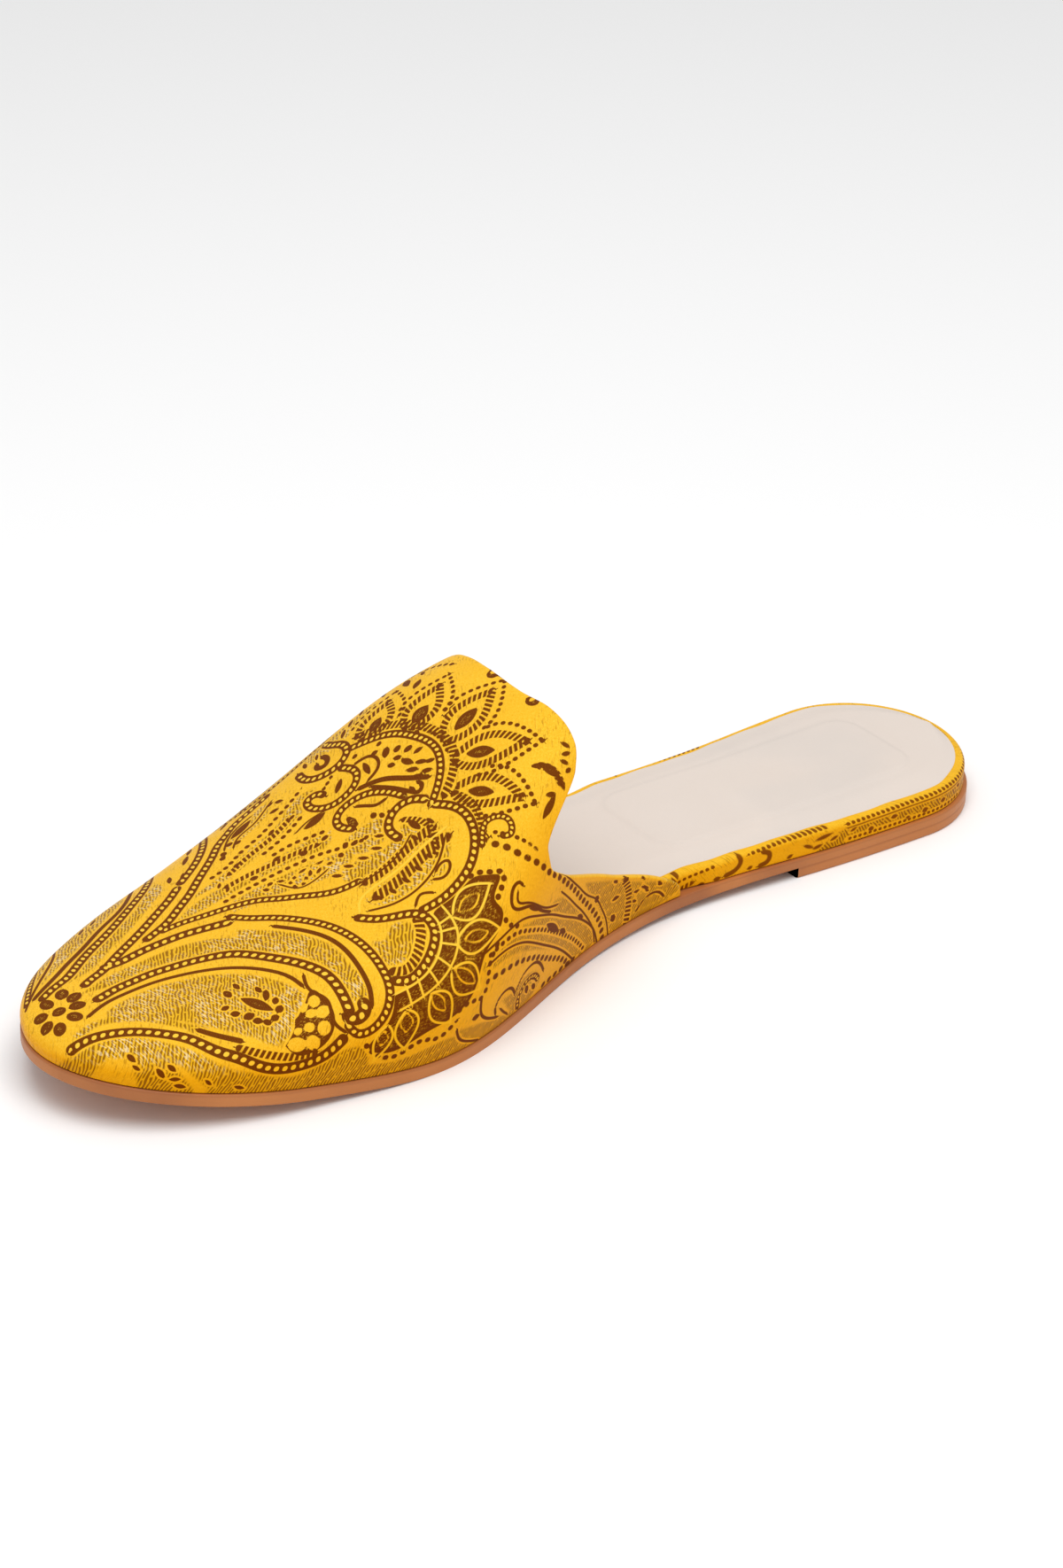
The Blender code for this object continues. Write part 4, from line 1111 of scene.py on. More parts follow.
class Brocade:
    """Works out what is woven at each point of a cloth surface."""

    def __init__(
        self, points: np.ndarray, normals: np.ndarray, chart: np.ndarray, chart_map: ChartMap
    ) -> None:
        """Takes the cloth's points.

        Args:
            points: Rows of points, mm.
            normals: Their unit normals.
            chart: Their places on the flat cloth.
            chart_map: Turns places on the flat cloth into points.
        """
        self.points = points
        self.normals = normals
        self.chart = chart
        self.chart_map = chart_map
        count = len(points)
        self.bands = [np.zeros((count, 3)) for _ in range(BAND_LAYERS)]
        self.kinds = [np.zeros((count, 3)) for _ in range(BAND_LAYERS)]
        self.figure, self.gold, self.field = (np.full(count, FAR) for _ in range(3))
        self.order = np.argsort(points[:, 0])
        self.sorted_x = points[self.order, 0]

    def near(self, low: np.ndarray, high: np.ndarray) -> np.ndarray:
        """Indices of the points inside a box.

        Args:
            low: The box's lowest corner.
            high: Its highest corner.

        Returns:
            The indices.
        """
        start, end = np.searchsorted(self.sorted_x, [low[0], high[0]])
        some = self.order[start:end]
        held = self.points[some]
        inside = ((held >= low) & (held <= high)).all(axis=1)
        return some[inside]

    def weave_band(self, band: Band, places: np.ndarray) -> None:
        """Puts one band into the layer where least lies near it.

        Args:
            band: The band.
            places: Its middle line on the flat cloth.
        """
        line = self.chart_map(places)
        reach = band.width / 2.0 + BAND_MARGIN
        best = np.full(len(self.points), np.inf)
        across = np.zeros(len(self.points))
        run = np.zeros(len(self.points))
        travelled = 0.0
        for start, end in zip(line, line[1:]):
            step = end - start
            length = float(np.linalg.norm(step))
            if length < 1e-6:
                continue
            margin = reach + BAND_MARGIN
            some = self.near(np.minimum(start, end) - margin, np.maximum(start, end) + margin)
            offset = self.points[some] - start
            share = np.clip(offset @ step / length**2, 0.0, 1.0)
            away = offset - share[:, None] * step
            distance = np.linalg.norm(away, axis=1)
            closer = distance < best[some]
            some, share, away, distance = (held[closer] for held in (some, share, away, distance))
            sign = np.sign((np.cross(step, self.normals[some]) * away).sum(axis=1))
            best[some] = distance
            across[some] = distance * sign
            run[some] = travelled + share * length
            travelled += length
        taken = best < reach
        guard = best < reach + BAND_MARGIN
        clashes = [int((kept[guard, 2] > 0.0).sum()) for kept in self.bands]
        layer = int(np.argmin(clashes))
        taken &= self.bands[layer][:, 2] == 0.0
        self.bands[layer][taken] = np.stack([across, run, np.ones_like(run)], -1)[taken]
        self.kinds[layer][taken] = (band.width / 2.0, band.stroke.value, 0.0)

    def weave_leaves(
        self, target: np.ndarray, leaves: list[Leaf], form: Form, ring: float = 0.0
    ) -> None:
        """Adds small shapes to a layer.

        Args:
            target: The layer, figure or gold.
            leaves: The shapes.
            form: How their sides close.
            ring: Width of a line round each shape, mm, in place of the filled shape.
        """
        middles = np.array([leaf[:2] for leaf in leaves])
        turns = np.radians([leaf.turn for leaf in leaves])
        step = LEAF_STEP * np.stack([np.cos(turns), np.sin(turns)], -1)
        centres = self.chart_map(middles)
        directions = self.chart_map(middles + step) - self.chart_map(middles - step)
        for leaf, centre, direction in zip(leaves, centres, directions):
            ahead = direction / max(float(np.linalg.norm(direction)), 1e-9)
            reach = leaf.length / 2.0 + FAR
            some = self.near(centre - reach, centre + reach)
            offset = self.points[some] - centre
            side = np.cross(self.normals[some], ahead)
            along = np.abs(offset @ ahead) / (leaf.length / 2.0)
            wide = np.abs((offset * side).sum(axis=1))
            edge = leaf.width / 2.0 * np.maximum(1.0 - along**2, 0.0) ** form.value
            past = np.maximum(along - 1.0, 0.0) * leaf.length / 2.0
            distance = np.where(along < 1.0, wide - edge, np.hypot(wide, past))
            if ring > 0.0:
                distance = np.abs(distance - RING_OUT * ring) - ring / 2.0
            target[some] = np.minimum(target[some], distance)

    def weave_field(self, target: np.ndarray, outline: tuple) -> None:
        """Adds a closed area of the flat cloth to a layer, and its repeat on the outer side.

        Args:
            target: The layer, figure or field.
            outline: The area's corners.
        """
        closed = spline(np.array([*outline, outline[0]], float), FIELD_PITCH)
        back, arc = self.chart.T
        flipped = np.where(arc < -REPEAT_FROM - REPEAT_SHIFT, -arc - REPEAT_SHIFT, arc)
        places = np.stack([back, flipped], -1)
        low, high = closed.min(axis=0) - FAR, closed.max(axis=0) + FAR
        inside = (places >= low) & (places <= high)
        some = np.flatnonzero(inside.all(axis=1))
        target[some] = np.minimum(target[some], signed_distance(places[some], closed))

    def layers(self, shape: tuple[int, int]) -> dict[str, np.ndarray]:
        """What the cloth's finish reads at each point, as grids of this shape.

        Args:
            shape: Rows and columns of the cloth's net.

        Returns:
            The layers by name.
        """
        figures = np.stack([self.figure, self.gold, self.field], -1)
        found = {"sheet": three(self.chart), "figures": figures}
        for i in range(BAND_LAYERS):
            found[f"band{i}"] = self.bands[i]
            found[f"kind{i}"] = self.kinds[i]
        return {name: values.reshape(*shape, 3) for name, values in found.items()}


def weave_paisley(cloth: Brocade) -> None:
    """Weaves the whole paisley design into the vamp's cloth.

    Args:
        cloth: The vamp's cloth.
    """
    tables = (TOE_BANDS, PAISLEY_BANDS, FAN_BANDS, SIDE_BANDS, TONGUE_BANDS)
    bands = [Band(*row) for table in tables for row in table]
    petals = [Petal(*row) for row in PETALS]
    for band in bands + [band for petal in petals for band in petal.bands()]:
        line = spline(np.array(band.places), LINE_PITCH)
        for part in (line, *repeated(line)):
            cloth.weave_band(band, part)
    leaves = [Leaf(*row) for row in LEAVES] + [petal.heart() for petal in petals]
    for target, found, form in (
        (cloth.figure, leaves, Form.LENS),
        (cloth.figure, [Leaf(*row) for row in SEEDS], Form.OVAL),
        (cloth.gold, [Leaf(*row) for row in GOLD_SEEDS], Form.OVAL),
    ):
        again = [
            leaf._replace(arc=-leaf.arc - REPEAT_SHIFT, turn=-leaf.turn)
            for leaf in found
            if leaf.arc >= REPEAT_FROM
        ]
        cloth.weave_leaves(target, found + again, form)
    small = [petal.heart() for petal in petals if petal.width <= LARGE_PETAL]
    cloth.weave_leaves(cloth.gold, small, Form.LENS, HEART_RING)
    for outline in FIELDS:
        cloth.weave_field(cloth.field, outline)
    for outline in GROUNDS:
        cloth.weave_field(cloth.figure, outline)


def weave_wrap(cloth: Brocade) -> None:
    """Weaves a strip of the same design into the cloth round the board.

    Args:
        cloth: The wrap's cloth.
    """
    for side in (1.0, -1.0):
        for row in WRAP_BANDS:
            band = Band(*row)
            line = spline(np.array(band.places, float), LINE_PITCH)
            cloth.weave_band(band, line * (side, 1.0))
        leaves = [Leaf(*row) for row in WRAP_LEAVES]
        leaves = [leaf._replace(back=side * leaf.back, turn=side * leaf.turn) for leaf in leaves]
        cloth.weave_leaves(cloth.figure, leaves, Form.LENS)
        for outline in WRAP_FIELDS:
            cloth.weave_field(cloth.field, tuple((side * run, down) for run, down in outline))


# Finishes


class Shade(NamedTuple):
    """A plain colour, linear."""

    red: float
    green: float
    blue: float

    def full(self) -> tuple[float, float, float, float]:
        """The colour with its alpha."""
        return (self.red, self.green, self.blue, 1.0)


class Weaver:
    """Builds one material's node tree."""

    def __init__(self, name: str) -> None:
        """Starts a material with its Principled shader.

        Args:
            name: The material's name.
        """
        self.material = bpy.data.materials.new(name)
        self.material.use_nodes = True
        self.tree = self.material.node_tree
        self.shader = self.tree.nodes["Principled BSDF"]

    def node(self, kind: str, *inputs: object, **settings: object) -> bpy.types.Node:
        """A new shader node.

        Args:
            kind: Its type, without the prefix.
            inputs: Sockets or plain values for its first inputs, None to leave one alone.
            settings: Its own properties.

        Returns:
            The node.
        """
        made = self.tree.nodes.new(f"ShaderNode{kind}")
        for name, value in settings.items():
            setattr(made, name, value)
        for socket, value in zip(made.inputs, inputs):
            if value is not None:
                self.feed(socket, value)
        return made

    def feed(self, socket: Socket, value: object) -> None:
        """Links a socket or sets a plain value.

        Args:
            socket: The input.
            value: A socket or a plain value.
        """
        if isinstance(value, bpy.types.NodeSocket):
            self.tree.links.new(value, socket)
        else:
            socket.default_value = value

    def math(self, action: str, *values: object, clamp: bool = False) -> Socket:
        """One math node's result."""
        return self.node("Math", *values, operation=action, use_clamp=clamp).outputs[0]

    def times(self, first: object, *rest: object) -> Socket:
        """A product."""
        return reduce(lambda value, more: self.math("MULTIPLY", value, more), rest, first)

    def plus(self, first: object, *rest: object) -> Socket:
        """A sum."""
        return reduce(lambda value, more: self.math("ADD", value, more), rest, first)

    def without(self, value: Socket) -> Socket:
        """1 less a value."""
        return self.math("SUBTRACT", 1.0, value)

    def below(self, value: object, limit: object, soft: float) -> Socket:
        """1 where a value is under a limit and 0 over it, with a soft edge."""
        away = self.math("SUBTRACT", limit, value)
        return self.math("MULTIPLY_ADD", away, 0.5 / soft, 0.5, clamp=True)

    def cycle(self, value: object, pitch: object) -> Socket:
        """Where a value lies in its repeat, from -0.5 to 0.5."""
        return self.math("SUBTRACT", self.math("FRACT", self.math("DIVIDE", value, pitch)), 0.5)

    def off_middle(self, value: object, pitch: object) -> Socket:
        """How far a value lies from the middle of its repeat, 0 to 0.5."""
        return self.math("ABSOLUTE", self.cycle(value, pitch))

    def mix(self, share: object, first: object, second: object, how: str = "MIX") -> Socket:
        """A mix of two colours.

        Args:
            share: Share of the second colour.
            first: A colour.
            second: A colour.
            how: The blend.

        Returns:
            The mixed colour.
        """
        made = self.node("Mix", share, data_type="RGBA", blend_type=how)
        for socket, value in zip(made.inputs[6:8], (first, second)):
            self.feed(socket, value.full() if isinstance(value, Shade) else value)
        return made.outputs[2]

    def parts(self, vector: Socket) -> list[Socket]:
        """The three numbers of a vector."""
        return list(self.node("SeparateXYZ", vector).outputs)

    def layer(self, name: str) -> list[Socket]:
        """The three numbers of a point layer."""
        return self.parts(self.node("Attribute", attribute_name=name).outputs["Vector"])

    def sheet_place(self) -> Socket:
        """Place on the flat sheet, mm, for noise that follows the threads."""
        return self.node("Attribute", attribute_name="sheet").outputs["Vector"]

    def turned(self, place: Socket, degrees: float) -> Socket:
        """A flat place turned so that its X runs at this angle."""
        turn = (0.0, 0.0, math.radians(-degrees))
        return self.node("Mapping", place, None, turn).outputs[0]

    def noise(
        self, scale: float, detail: float, place: object = None, stretch: tuple = (1.0, 1.0, 1.0)
    ) -> Socket:
        """Noise on the object's own place, or on another.

        Args:
            scale: Its scale.
            detail: Its detail.
            place: Where it is read, or none.
            stretch: Scale of each axis.

        Returns:
            Noise from 0 to 1.
        """
        if place is None:
            place = self.node("TexCoord").outputs["Object"]
        spread = self.node("Mapping", place, None, None, stretch).outputs[0]
        return self.node("TexNoise", spread, None, scale, detail).outputs["Fac"]

    def upward(self) -> Socket:
        """How far the surface faces up, -1 to 1."""
        return self.parts(self.node("NewGeometry").outputs["Normal"])[2]

    def bump(self, height: Socket, distance: float, strength: float) -> None:
        """Feeds the shader's normal from a height.

        Args:
            height: The height.
            distance: Metres for a height of 1.
            strength: How strongly it shows.
        """
        made = self.node("Bump")
        made.inputs["Strength"].default_value = strength
        made.inputs["Distance"].default_value = distance
        self.feed(made.inputs["Height"], height)
        self.feed(self.shader.inputs["Normal"], made.outputs[0])

    def plain(self, **values: object) -> None:
        """Sets the shader's own values, named as its sockets with _ for a space."""
        for name, value in values.items():
            self.shader.inputs[name.replace("_", " ")].default_value = value


MASK_LIMIT = 0.98
ROUND_SOFT = 0.25
BAR_SOFT = 0.06


@dataclass(frozen=True)
class Patches:
    """Noise cut into patches: its scale, detail and stretch, and the level of the cut."""

    scale: float
    detail: float
    stretch: tuple[float, float, float]
    level: float
    soft: float

    def cut(self, made: Weaver, place: Socket) -> Socket:
        """1 inside the patches and 0 between them."""
        noise = made.noise(self.scale, self.detail, place, self.stretch)
        return made.below(self.level, noise, self.soft)


@dataclass(frozen=True)
class BrocadeFinish:
    """Gold satin with brown figured bands, leaves and finely hatched fields.

    Lengths are mm on the cloth and turns are degrees. Sizes of beads and dots are shares of their
    band's half width or of their own pitch.
    """

    name: str = "gold_brocade"
    gold: Shade = Shade(0.96, 0.565, 0.045)
    deep_gold: Shade = Shade(0.80, 0.41, 0.012)
    # Painted shade: low darkens cloth that faces sideways, under darkens cloth that faces down
    low: Shade = Shade(1.0, 0.80, 0.20)
    under: Shade = Shade(0.93, 0.91, 0.60)
    brown: Shade = Shade(0.135, 0.031, 0.003)
    light_brown: Shade = Shade(0.25, 0.075, 0.006)
    bead: Shade = Shade(0.92, 0.56, 0.05)
    khaki: Shade = Shade(0.77, 0.435, 0.015)
    hatch: Shade = Shade(0.22, 0.075, 0.004)
    # Colour of the painted highlights (pale glints) on the hatched fields
    pale: Shade = Shade(0.94, 0.80, 0.50)
    shine: Shade = Shade(1.0, 0.66, 0.12)
    flecks: Patches = Patches(1.1, 2.0, (0.45, 2.2, 1.0), 0.60, 0.04)
    fleck_areas: Patches = Patches(0.12, 1.0, (1.0, 1.0, 1.0), 0.50, 0.08)
    painted_glints: Patches = Patches(1.2, 2.0, (0.4, 2.4, 1.0), 0.56, 0.04)
    thread_scale: float = 1.4
    thread_stretch: float = 4.5
    cloud_scale: float = 0.09
    deep_share: float = 0.35
    fleck_share: float = 0.4
    field_share: float = 0.8
    stroke_share: float = 0.85
    glint_share: float = 0.5
    gold_share: float = 0.6
    soft: float = 0.08
    halo: float = 0.45
    bead_slant: float = 0.3
    bead_pitch: float = 1.5
    bead_long: float = 0.29
    bead_wide: float = 0.44
    bead_square: float = 2.4
    dot_pitch: float = 3.2
    dot_long: float = 0.34
    bar_slant: float = 0.35
    bar_pitch: float = 1.25
    bar_gap: float = 0.19
    hatch_turn: float = -58.0
    hatch_pitch: float = 0.76
    hatch_waver: float = 1.8
    hatch_length: float = 5.2
    hatch_shift: float = 2.31
    hatch_break: float = 0.46
    hatch_thin: float = 0.09
    hatch_swell: float = 0.34
    field_soft: float = 0.35
    glint_turn: float = 73.0
    rib_pitch: float = 0.42
    rib_half: float = 0.16
    rough: float = 0.34
    rough_figure: float = 0.16
    rough_thread: float = 0.12
    thread_height: float = 0.8
    rib_height: float = 0.35
    figure_depth: float = 0.55
    stroke_depth: float = 0.3
    relief: float = 0.16
    relief_strength: float = 0.55

    def band(self, made: Weaver, number: int) -> tuple[Socket, Socket, Socket]:
        """Reads one band layer.

        Args:
            made: The material.
            number: Which band layer.

        Returns:
            How much of a place is brown band, how much is bead or gold line, and how much lies
            near a band.
        """
        across, run, mask = made.layer(f"band{number}")
        half, stroke, _ = made.layer(f"kind{number}")
        solid = made.math("GREATER_THAN", mask, MASK_LIMIT)
        away = made.math("ABSOLUTE", across)
        inside = made.times(made.below(away, half, self.soft), solid)
        near = made.times(made.below(away, made.plus(half, self.halo), self.soft), solid)
        beads, dots, bars, gold = (
            made.math("COMPARE", stroke, kind.value, 0.1)
            for kind in (Stroke.BEADS, Stroke.DOTS, Stroke.BARS, Stroke.GOLD)
        )
        slid = made.plus(run, made.times(across, self.bead_slant))
        pitch = made.times(half, self.bead_pitch)
        long = made.math("DIVIDE", made.off_middle(slid, pitch), self.bead_long)
        wide = made.math("DIVIDE", away, made.times(half, self.bead_wide))
        powers = [made.math("POWER", value, self.bead_square) for value in (long, wide)]
        bead = made.times(made.below(made.plus(*powers), 1.0, ROUND_SOFT), beads, inside)
        pitch = made.times(half, self.dot_pitch)
        long = made.math("DIVIDE", made.cycle(run, pitch), self.dot_long)
        wide = made.math("DIVIDE", away, half)
        squares = [made.times(value, value) for value in (long, wide)]
        gap_dots = made.times(made.without(made.below(made.plus(*squares), 1.0, ROUND_SOFT)), dots)
        leaned = made.plus(run, made.times(across, self.bar_slant))
        bar = made.below(made.off_middle(leaned, self.bar_pitch), self.bar_gap, BAR_SOFT)
        gap = made.math("MAXIMUM", gap_dots, made.times(bar, bars))
        lines = made.times(inside, gold)
        dark = made.times(inside, made.without(gap), made.without(gold))
        return dark, made.math("MAXIMUM", bead, lines), near

    def hatching(self, made: Weaver, field: Socket) -> tuple[Socket, Socket]:
        """The fine slanted strokes of the hatched fields.

        Args:
            made: The material.
            field: Signed distance to the nearest field.

        Returns:
            How much of a place is field, and how much of it is stroke.
        """
        place = made.sheet_place()
        along, square, _ = made.parts(made.turned(place, self.hatch_turn))
        waver = made.plus(made.noise(0.25, 2.0, place), -0.5)
        square = made.plus(square, made.times(waver, self.hatch_waver))
        line = made.off_middle(square, self.hatch_pitch)
        step = made.math("FLOOR", made.math("DIVIDE", square, self.hatch_pitch))
        shifted = made.plus(along, made.times(step, self.hatch_shift))
        broken = made.off_middle(shifted, self.hatch_length)
        swell = made.times(made.noise(0.5, 1.0, place), self.hatch_swell)
        strokes = made.times(
            made.below(line, made.plus(swell, self.hatch_thin), 0.09),
            made.below(broken, self.hatch_break, 0.03),
        )
        return made.below(field, 0.0, self.field_soft), strokes

    def ground(self, made: Weaver, thread: Socket, cloud: Socket) -> Socket:
        """The gold satin, with its deeper threads and slanting flecks.

        Args:
            made: The material.
            thread: Unevenness of the threads.
            cloud: Slow changes over the cloth.

        Returns:
            The colour.
        """
        place = made.sheet_place()
        colour = made.mix(made.below(thread, 0.5, 0.12), self.gold, self.deep_gold)
        deeper = made.times(made.below(cloud, 0.45, 0.2), self.deep_share)
        colour = made.mix(deeper, colour, self.deep_gold)
        flecks = self.flecks.cut(made, made.turned(place, self.hatch_turn))
        flecks = made.times(flecks, self.fleck_areas.cut(made, place), self.fleck_share)
        return made.mix(flecks, colour, self.hatch)

    def fields(
        self, made: Weaver, ground: Socket, held: Socket, strokes: Socket, cloud: Socket
    ) -> Socket:
        """Lays the hatched fields over the ground, with painted highlights of pale glints where
        they face up.

        Args:
            made: The material.
            ground: The ground's colour.
            held: How much of a place is field.
            strokes: How much of the field is stroke.
            cloud: Slow changes over the cloth.

        Returns:
            The colour.
        """
        # Painted highlights: pale glint streaks mixed into the fields where the cloth faces up, in
        # patches of the cloud
        painted_glints = self.painted_glints.cut(made, made.turned(made.sheet_place(), self.glint_turn))
        lit = made.times(made.below(0.3, made.upward(), 0.3), made.below(cloud, 0.52, 0.1))
        colour = made.mix(made.times(held, self.field_share), ground, self.khaki)
        colour = made.mix(made.times(strokes, held, self.stroke_share), colour, self.hatch)
        return made.mix(made.times(painted_glints, held, lit, self.glint_share), colour, self.pale)

    def threads(self, made: Weaver, figure: Socket, warp: Socket) -> Socket:
        """The brown threads of the figures, ribbed, with gold ones in the large shapes.

        Args:
            made: The material.
            figure: Signed distance to the nearest brown shape.
            warp: Unevenness along the threads.

        Returns:
            The colour.
        """
        back, arc, _ = made.layer("sheet")
        rib = made.off_middle(made.plus(back, arc), self.rib_pitch)
        rib = made.below(rib, self.rib_half, 0.08)
        light = made.times(made.below(0.48, warp, 0.1), rib)
        colour = made.mix(light, self.brown, self.light_brown)
        deep = made.times(made.below(figure, -1.0, 0.1), made.below(0.60, warp, 0.03))
        return made.mix(made.times(deep, self.gold_share), colour, self.gold)

    def material(self) -> bpy.types.Material:
        """The brocade's material.

        Returns:
            The material, read from the layers that the weaving left on the mesh.
        """
        made = Weaver(self.name)
        figure, gold_figure, field = made.layer("figures")
        place = made.sheet_place()
        warp = made.noise(self.thread_scale, 3.0, place, (1.0, self.thread_stretch, 1.0))
        weft = made.noise(self.thread_scale, 3.0, place, (self.thread_stretch, 1.0, 1.0))
        thread = made.times(made.plus(warp, weft), 0.5)
        cloud = made.noise(self.cloud_scale, 2.0, place)
        bands = [self.band(made, number) for number in range(BAND_LAYERS)]
        near = made.below(figure, self.halo, self.soft)
        for _, _, close in bands:
            near = made.math("MAXIMUM", near, close)
        held, strokes = self.hatching(made, field)
        held = made.times(held, made.without(near))
        colour = self.fields(made, self.ground(made, thread, cloud), held, strokes, cloud)
        bare = made.without(made.below(gold_figure, 0.0, self.soft))
        cover = made.times(made.below(figure, 0.0, self.soft), bare)
        for dark, _, _ in bands:
            cover = made.math("MAXIMUM", cover, dark)
        colour = made.mix(cover, colour, self.threads(made, figure, warp))
        for _, bead, _ in bands:
            colour = made.mix(bead, colour, self.bead)
            cover = made.times(cover, made.without(bead))
        # Painted shade: darker where the cloth faces sideways (low) and darker still where it faces
        # down (under)
        for limit, soft, painted_shade in ((0.42, 0.35, self.low), (0.06, 0.22, self.under)):
            colour = made.mix(made.below(made.upward(), limit, soft), colour, painted_shade, "MULTIPLY")
        made.feed(made.shader.inputs["Base Color"], colour)
        rough = made.plus(made.times(cover, self.rough_figure), made.times(warp, self.rough_thread))
        made.feed(made.shader.inputs["Roughness"], made.plus(rough, self.rough))
        made.plain(Sheen_Weight=0.03, Sheen_Roughness=0.35, Specular_IOR_Level=0.06)
        made.plain(Specular_Tint=self.shine.full(), Sheen_Tint=self.shine.full())
        arc = made.parts(place)[1]
        ribs = made.times(made.off_middle(arc, self.rib_pitch), self.rib_height)
        figures = made.times(cover, -self.figure_depth)
        sunk = made.plus(figures, made.times(strokes, held, -self.stroke_depth))
        height = made.plus(made.times(thread, self.thread_height), ribs, sunk)
        made.bump(height, self.relief * MM, self.relief_strength)
        return made.material


VAMP_BROCADE = BrocadeFinish()
# The wrapped edge's copy of the brocade: its darker gold and khaki are painted shade on the wall,
# its brown is lighter and its edges softer
WRAP_BROCADE = BrocadeFinish(
    "wrap_brocade",
    gold=Shade(0.90, 0.52, 0.035),
    brown=Shade(0.22, 0.068, 0.005),
    khaki=Shade(0.64, 0.35, 0.014),
    soft=0.18,
)


@dataclass(frozen=True)
class GrainFinish:
    """A grained sheet: sock leather, lining or sole."""

    name: str
    light: Shade
    dark: Shade
    scuff_and_shade: Shade
    grain: float
    roughness: float
    relief: float
    scuff_and_shade_share: float
    mark: float = -1.0

    def material(self) -> bpy.types.Material:
        """The sheet's material, with worn patches, a darker rim line of burnished edge and painted
        shadow, and painted shade along the pad's outline.

        Returns:
            The material.
        """
        made = Weaver(self.name)
        cloud = made.noise(CLOUD_SCALE, 4.0)
        fine = made.noise(self.grain, 6.0)
        colour = made.mix(cloud, self.dark, self.light)
        patch = made.times(made.below(0.58, made.noise(PATCH_SCALE, 3.0), 0.08), self.scuff_and_shade_share)
        colour = made.mix(patch, colour, self.scuff_and_shade)
        # Painted shade: a darker line round the pad's outline, and along the upper rim a line that
        # is partly burnished edge, partly painted shadow of the joint
        _, down, height = made.layer("sheet")
        for value, middle, half, soft, share in (
            (height, self.mark, MARK_HALF, 0.06, MARK_SHARE),
            (down, RIM_DEPTH, RIM_DEPTH, 0.25, RIM_SHARE),
        ):
            line = made.below(made.math("ABSOLUTE", made.plus(value, -middle)), half, soft)
            colour = made.mix(made.times(line, share * self.scuff_and_shade_share), colour, self.scuff_and_shade)
        made.feed(made.shader.inputs["Base Color"], colour)
        rough = made.plus(made.times(fine, ROUGH_SPREAD), self.roughness - ROUGH_BASE)
        made.feed(made.shader.inputs["Roughness"], rough)
        made.plain(Specular_IOR_Level=0.35)
        made.bump(made.plus(fine, made.times(cloud, 0.6)), self.relief * MM, 0.5)
        return made.material


CLOUD_SCALE = 60.0
PATCH_SCALE = 28.0
# RIM: the darker line along the upper rim, partly burnished edge, partly painted shadow of the
# joint above it
RIM_DEPTH = 0.25
RIM_SHARE = 0.6
# MARK: the line of painted shade along the pad's outline
MARK_HALF = 0.1
MARK_SHARE = 0.35
ROUGH_BASE = 0.07
ROUGH_SPREAD = 0.15

TAN_SOLE = GrainFinish(
    "tan_sole",
    light=Shade(0.56, 0.205, 0.055),
    dark=Shade(0.46, 0.155, 0.036),
    scuff_and_shade=Shade(0.24, 0.07, 0.025),
    grain=900.0,
    roughness=0.46,
    relief=0.10,
    scuff_and_shade_share=0.55,
)
CREAM_SOCK = GrainFinish(
    "cream_sock",
    light=Shade(0.73, 0.645, 0.58),
    dark=Shade(0.70, 0.608, 0.54),
    scuff_and_shade=Shade(0.60, 0.55, 0.51),
    grain=1500.0,
    roughness=0.62,
    relief=0.06,
    scuff_and_shade_share=0.3,
    # Height on the pad's relief where a line of painted shade marks its outline
    mark=1.1,
)
CREAM_LINING = GrainFinish(
    "cream_lining",
    light=Shade(0.72, 0.63, 0.53),
    dark=Shade(0.66, 0.57, 0.47),
    scuff_and_shade=Shade(0.60, 0.52, 0.44),
    grain=1400.0,
    roughness=0.7,
    relief=0.06,
    scuff_and_shade_share=0.2,
)


# The shoe


def fit(piece: bpy.types.Object, finish: bpy.types.Material, slot: str, *nodes: str) -> None:
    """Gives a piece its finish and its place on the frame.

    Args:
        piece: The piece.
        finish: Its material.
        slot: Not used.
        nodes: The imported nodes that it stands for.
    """
    piece.data.materials.clear()
    piece.data.materials.append(finish)
    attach(piece, BODY)
    if nodes:
        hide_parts(*nodes)
    LOG.info("%s: %d faces", piece.name, len(piece.data.polygons))


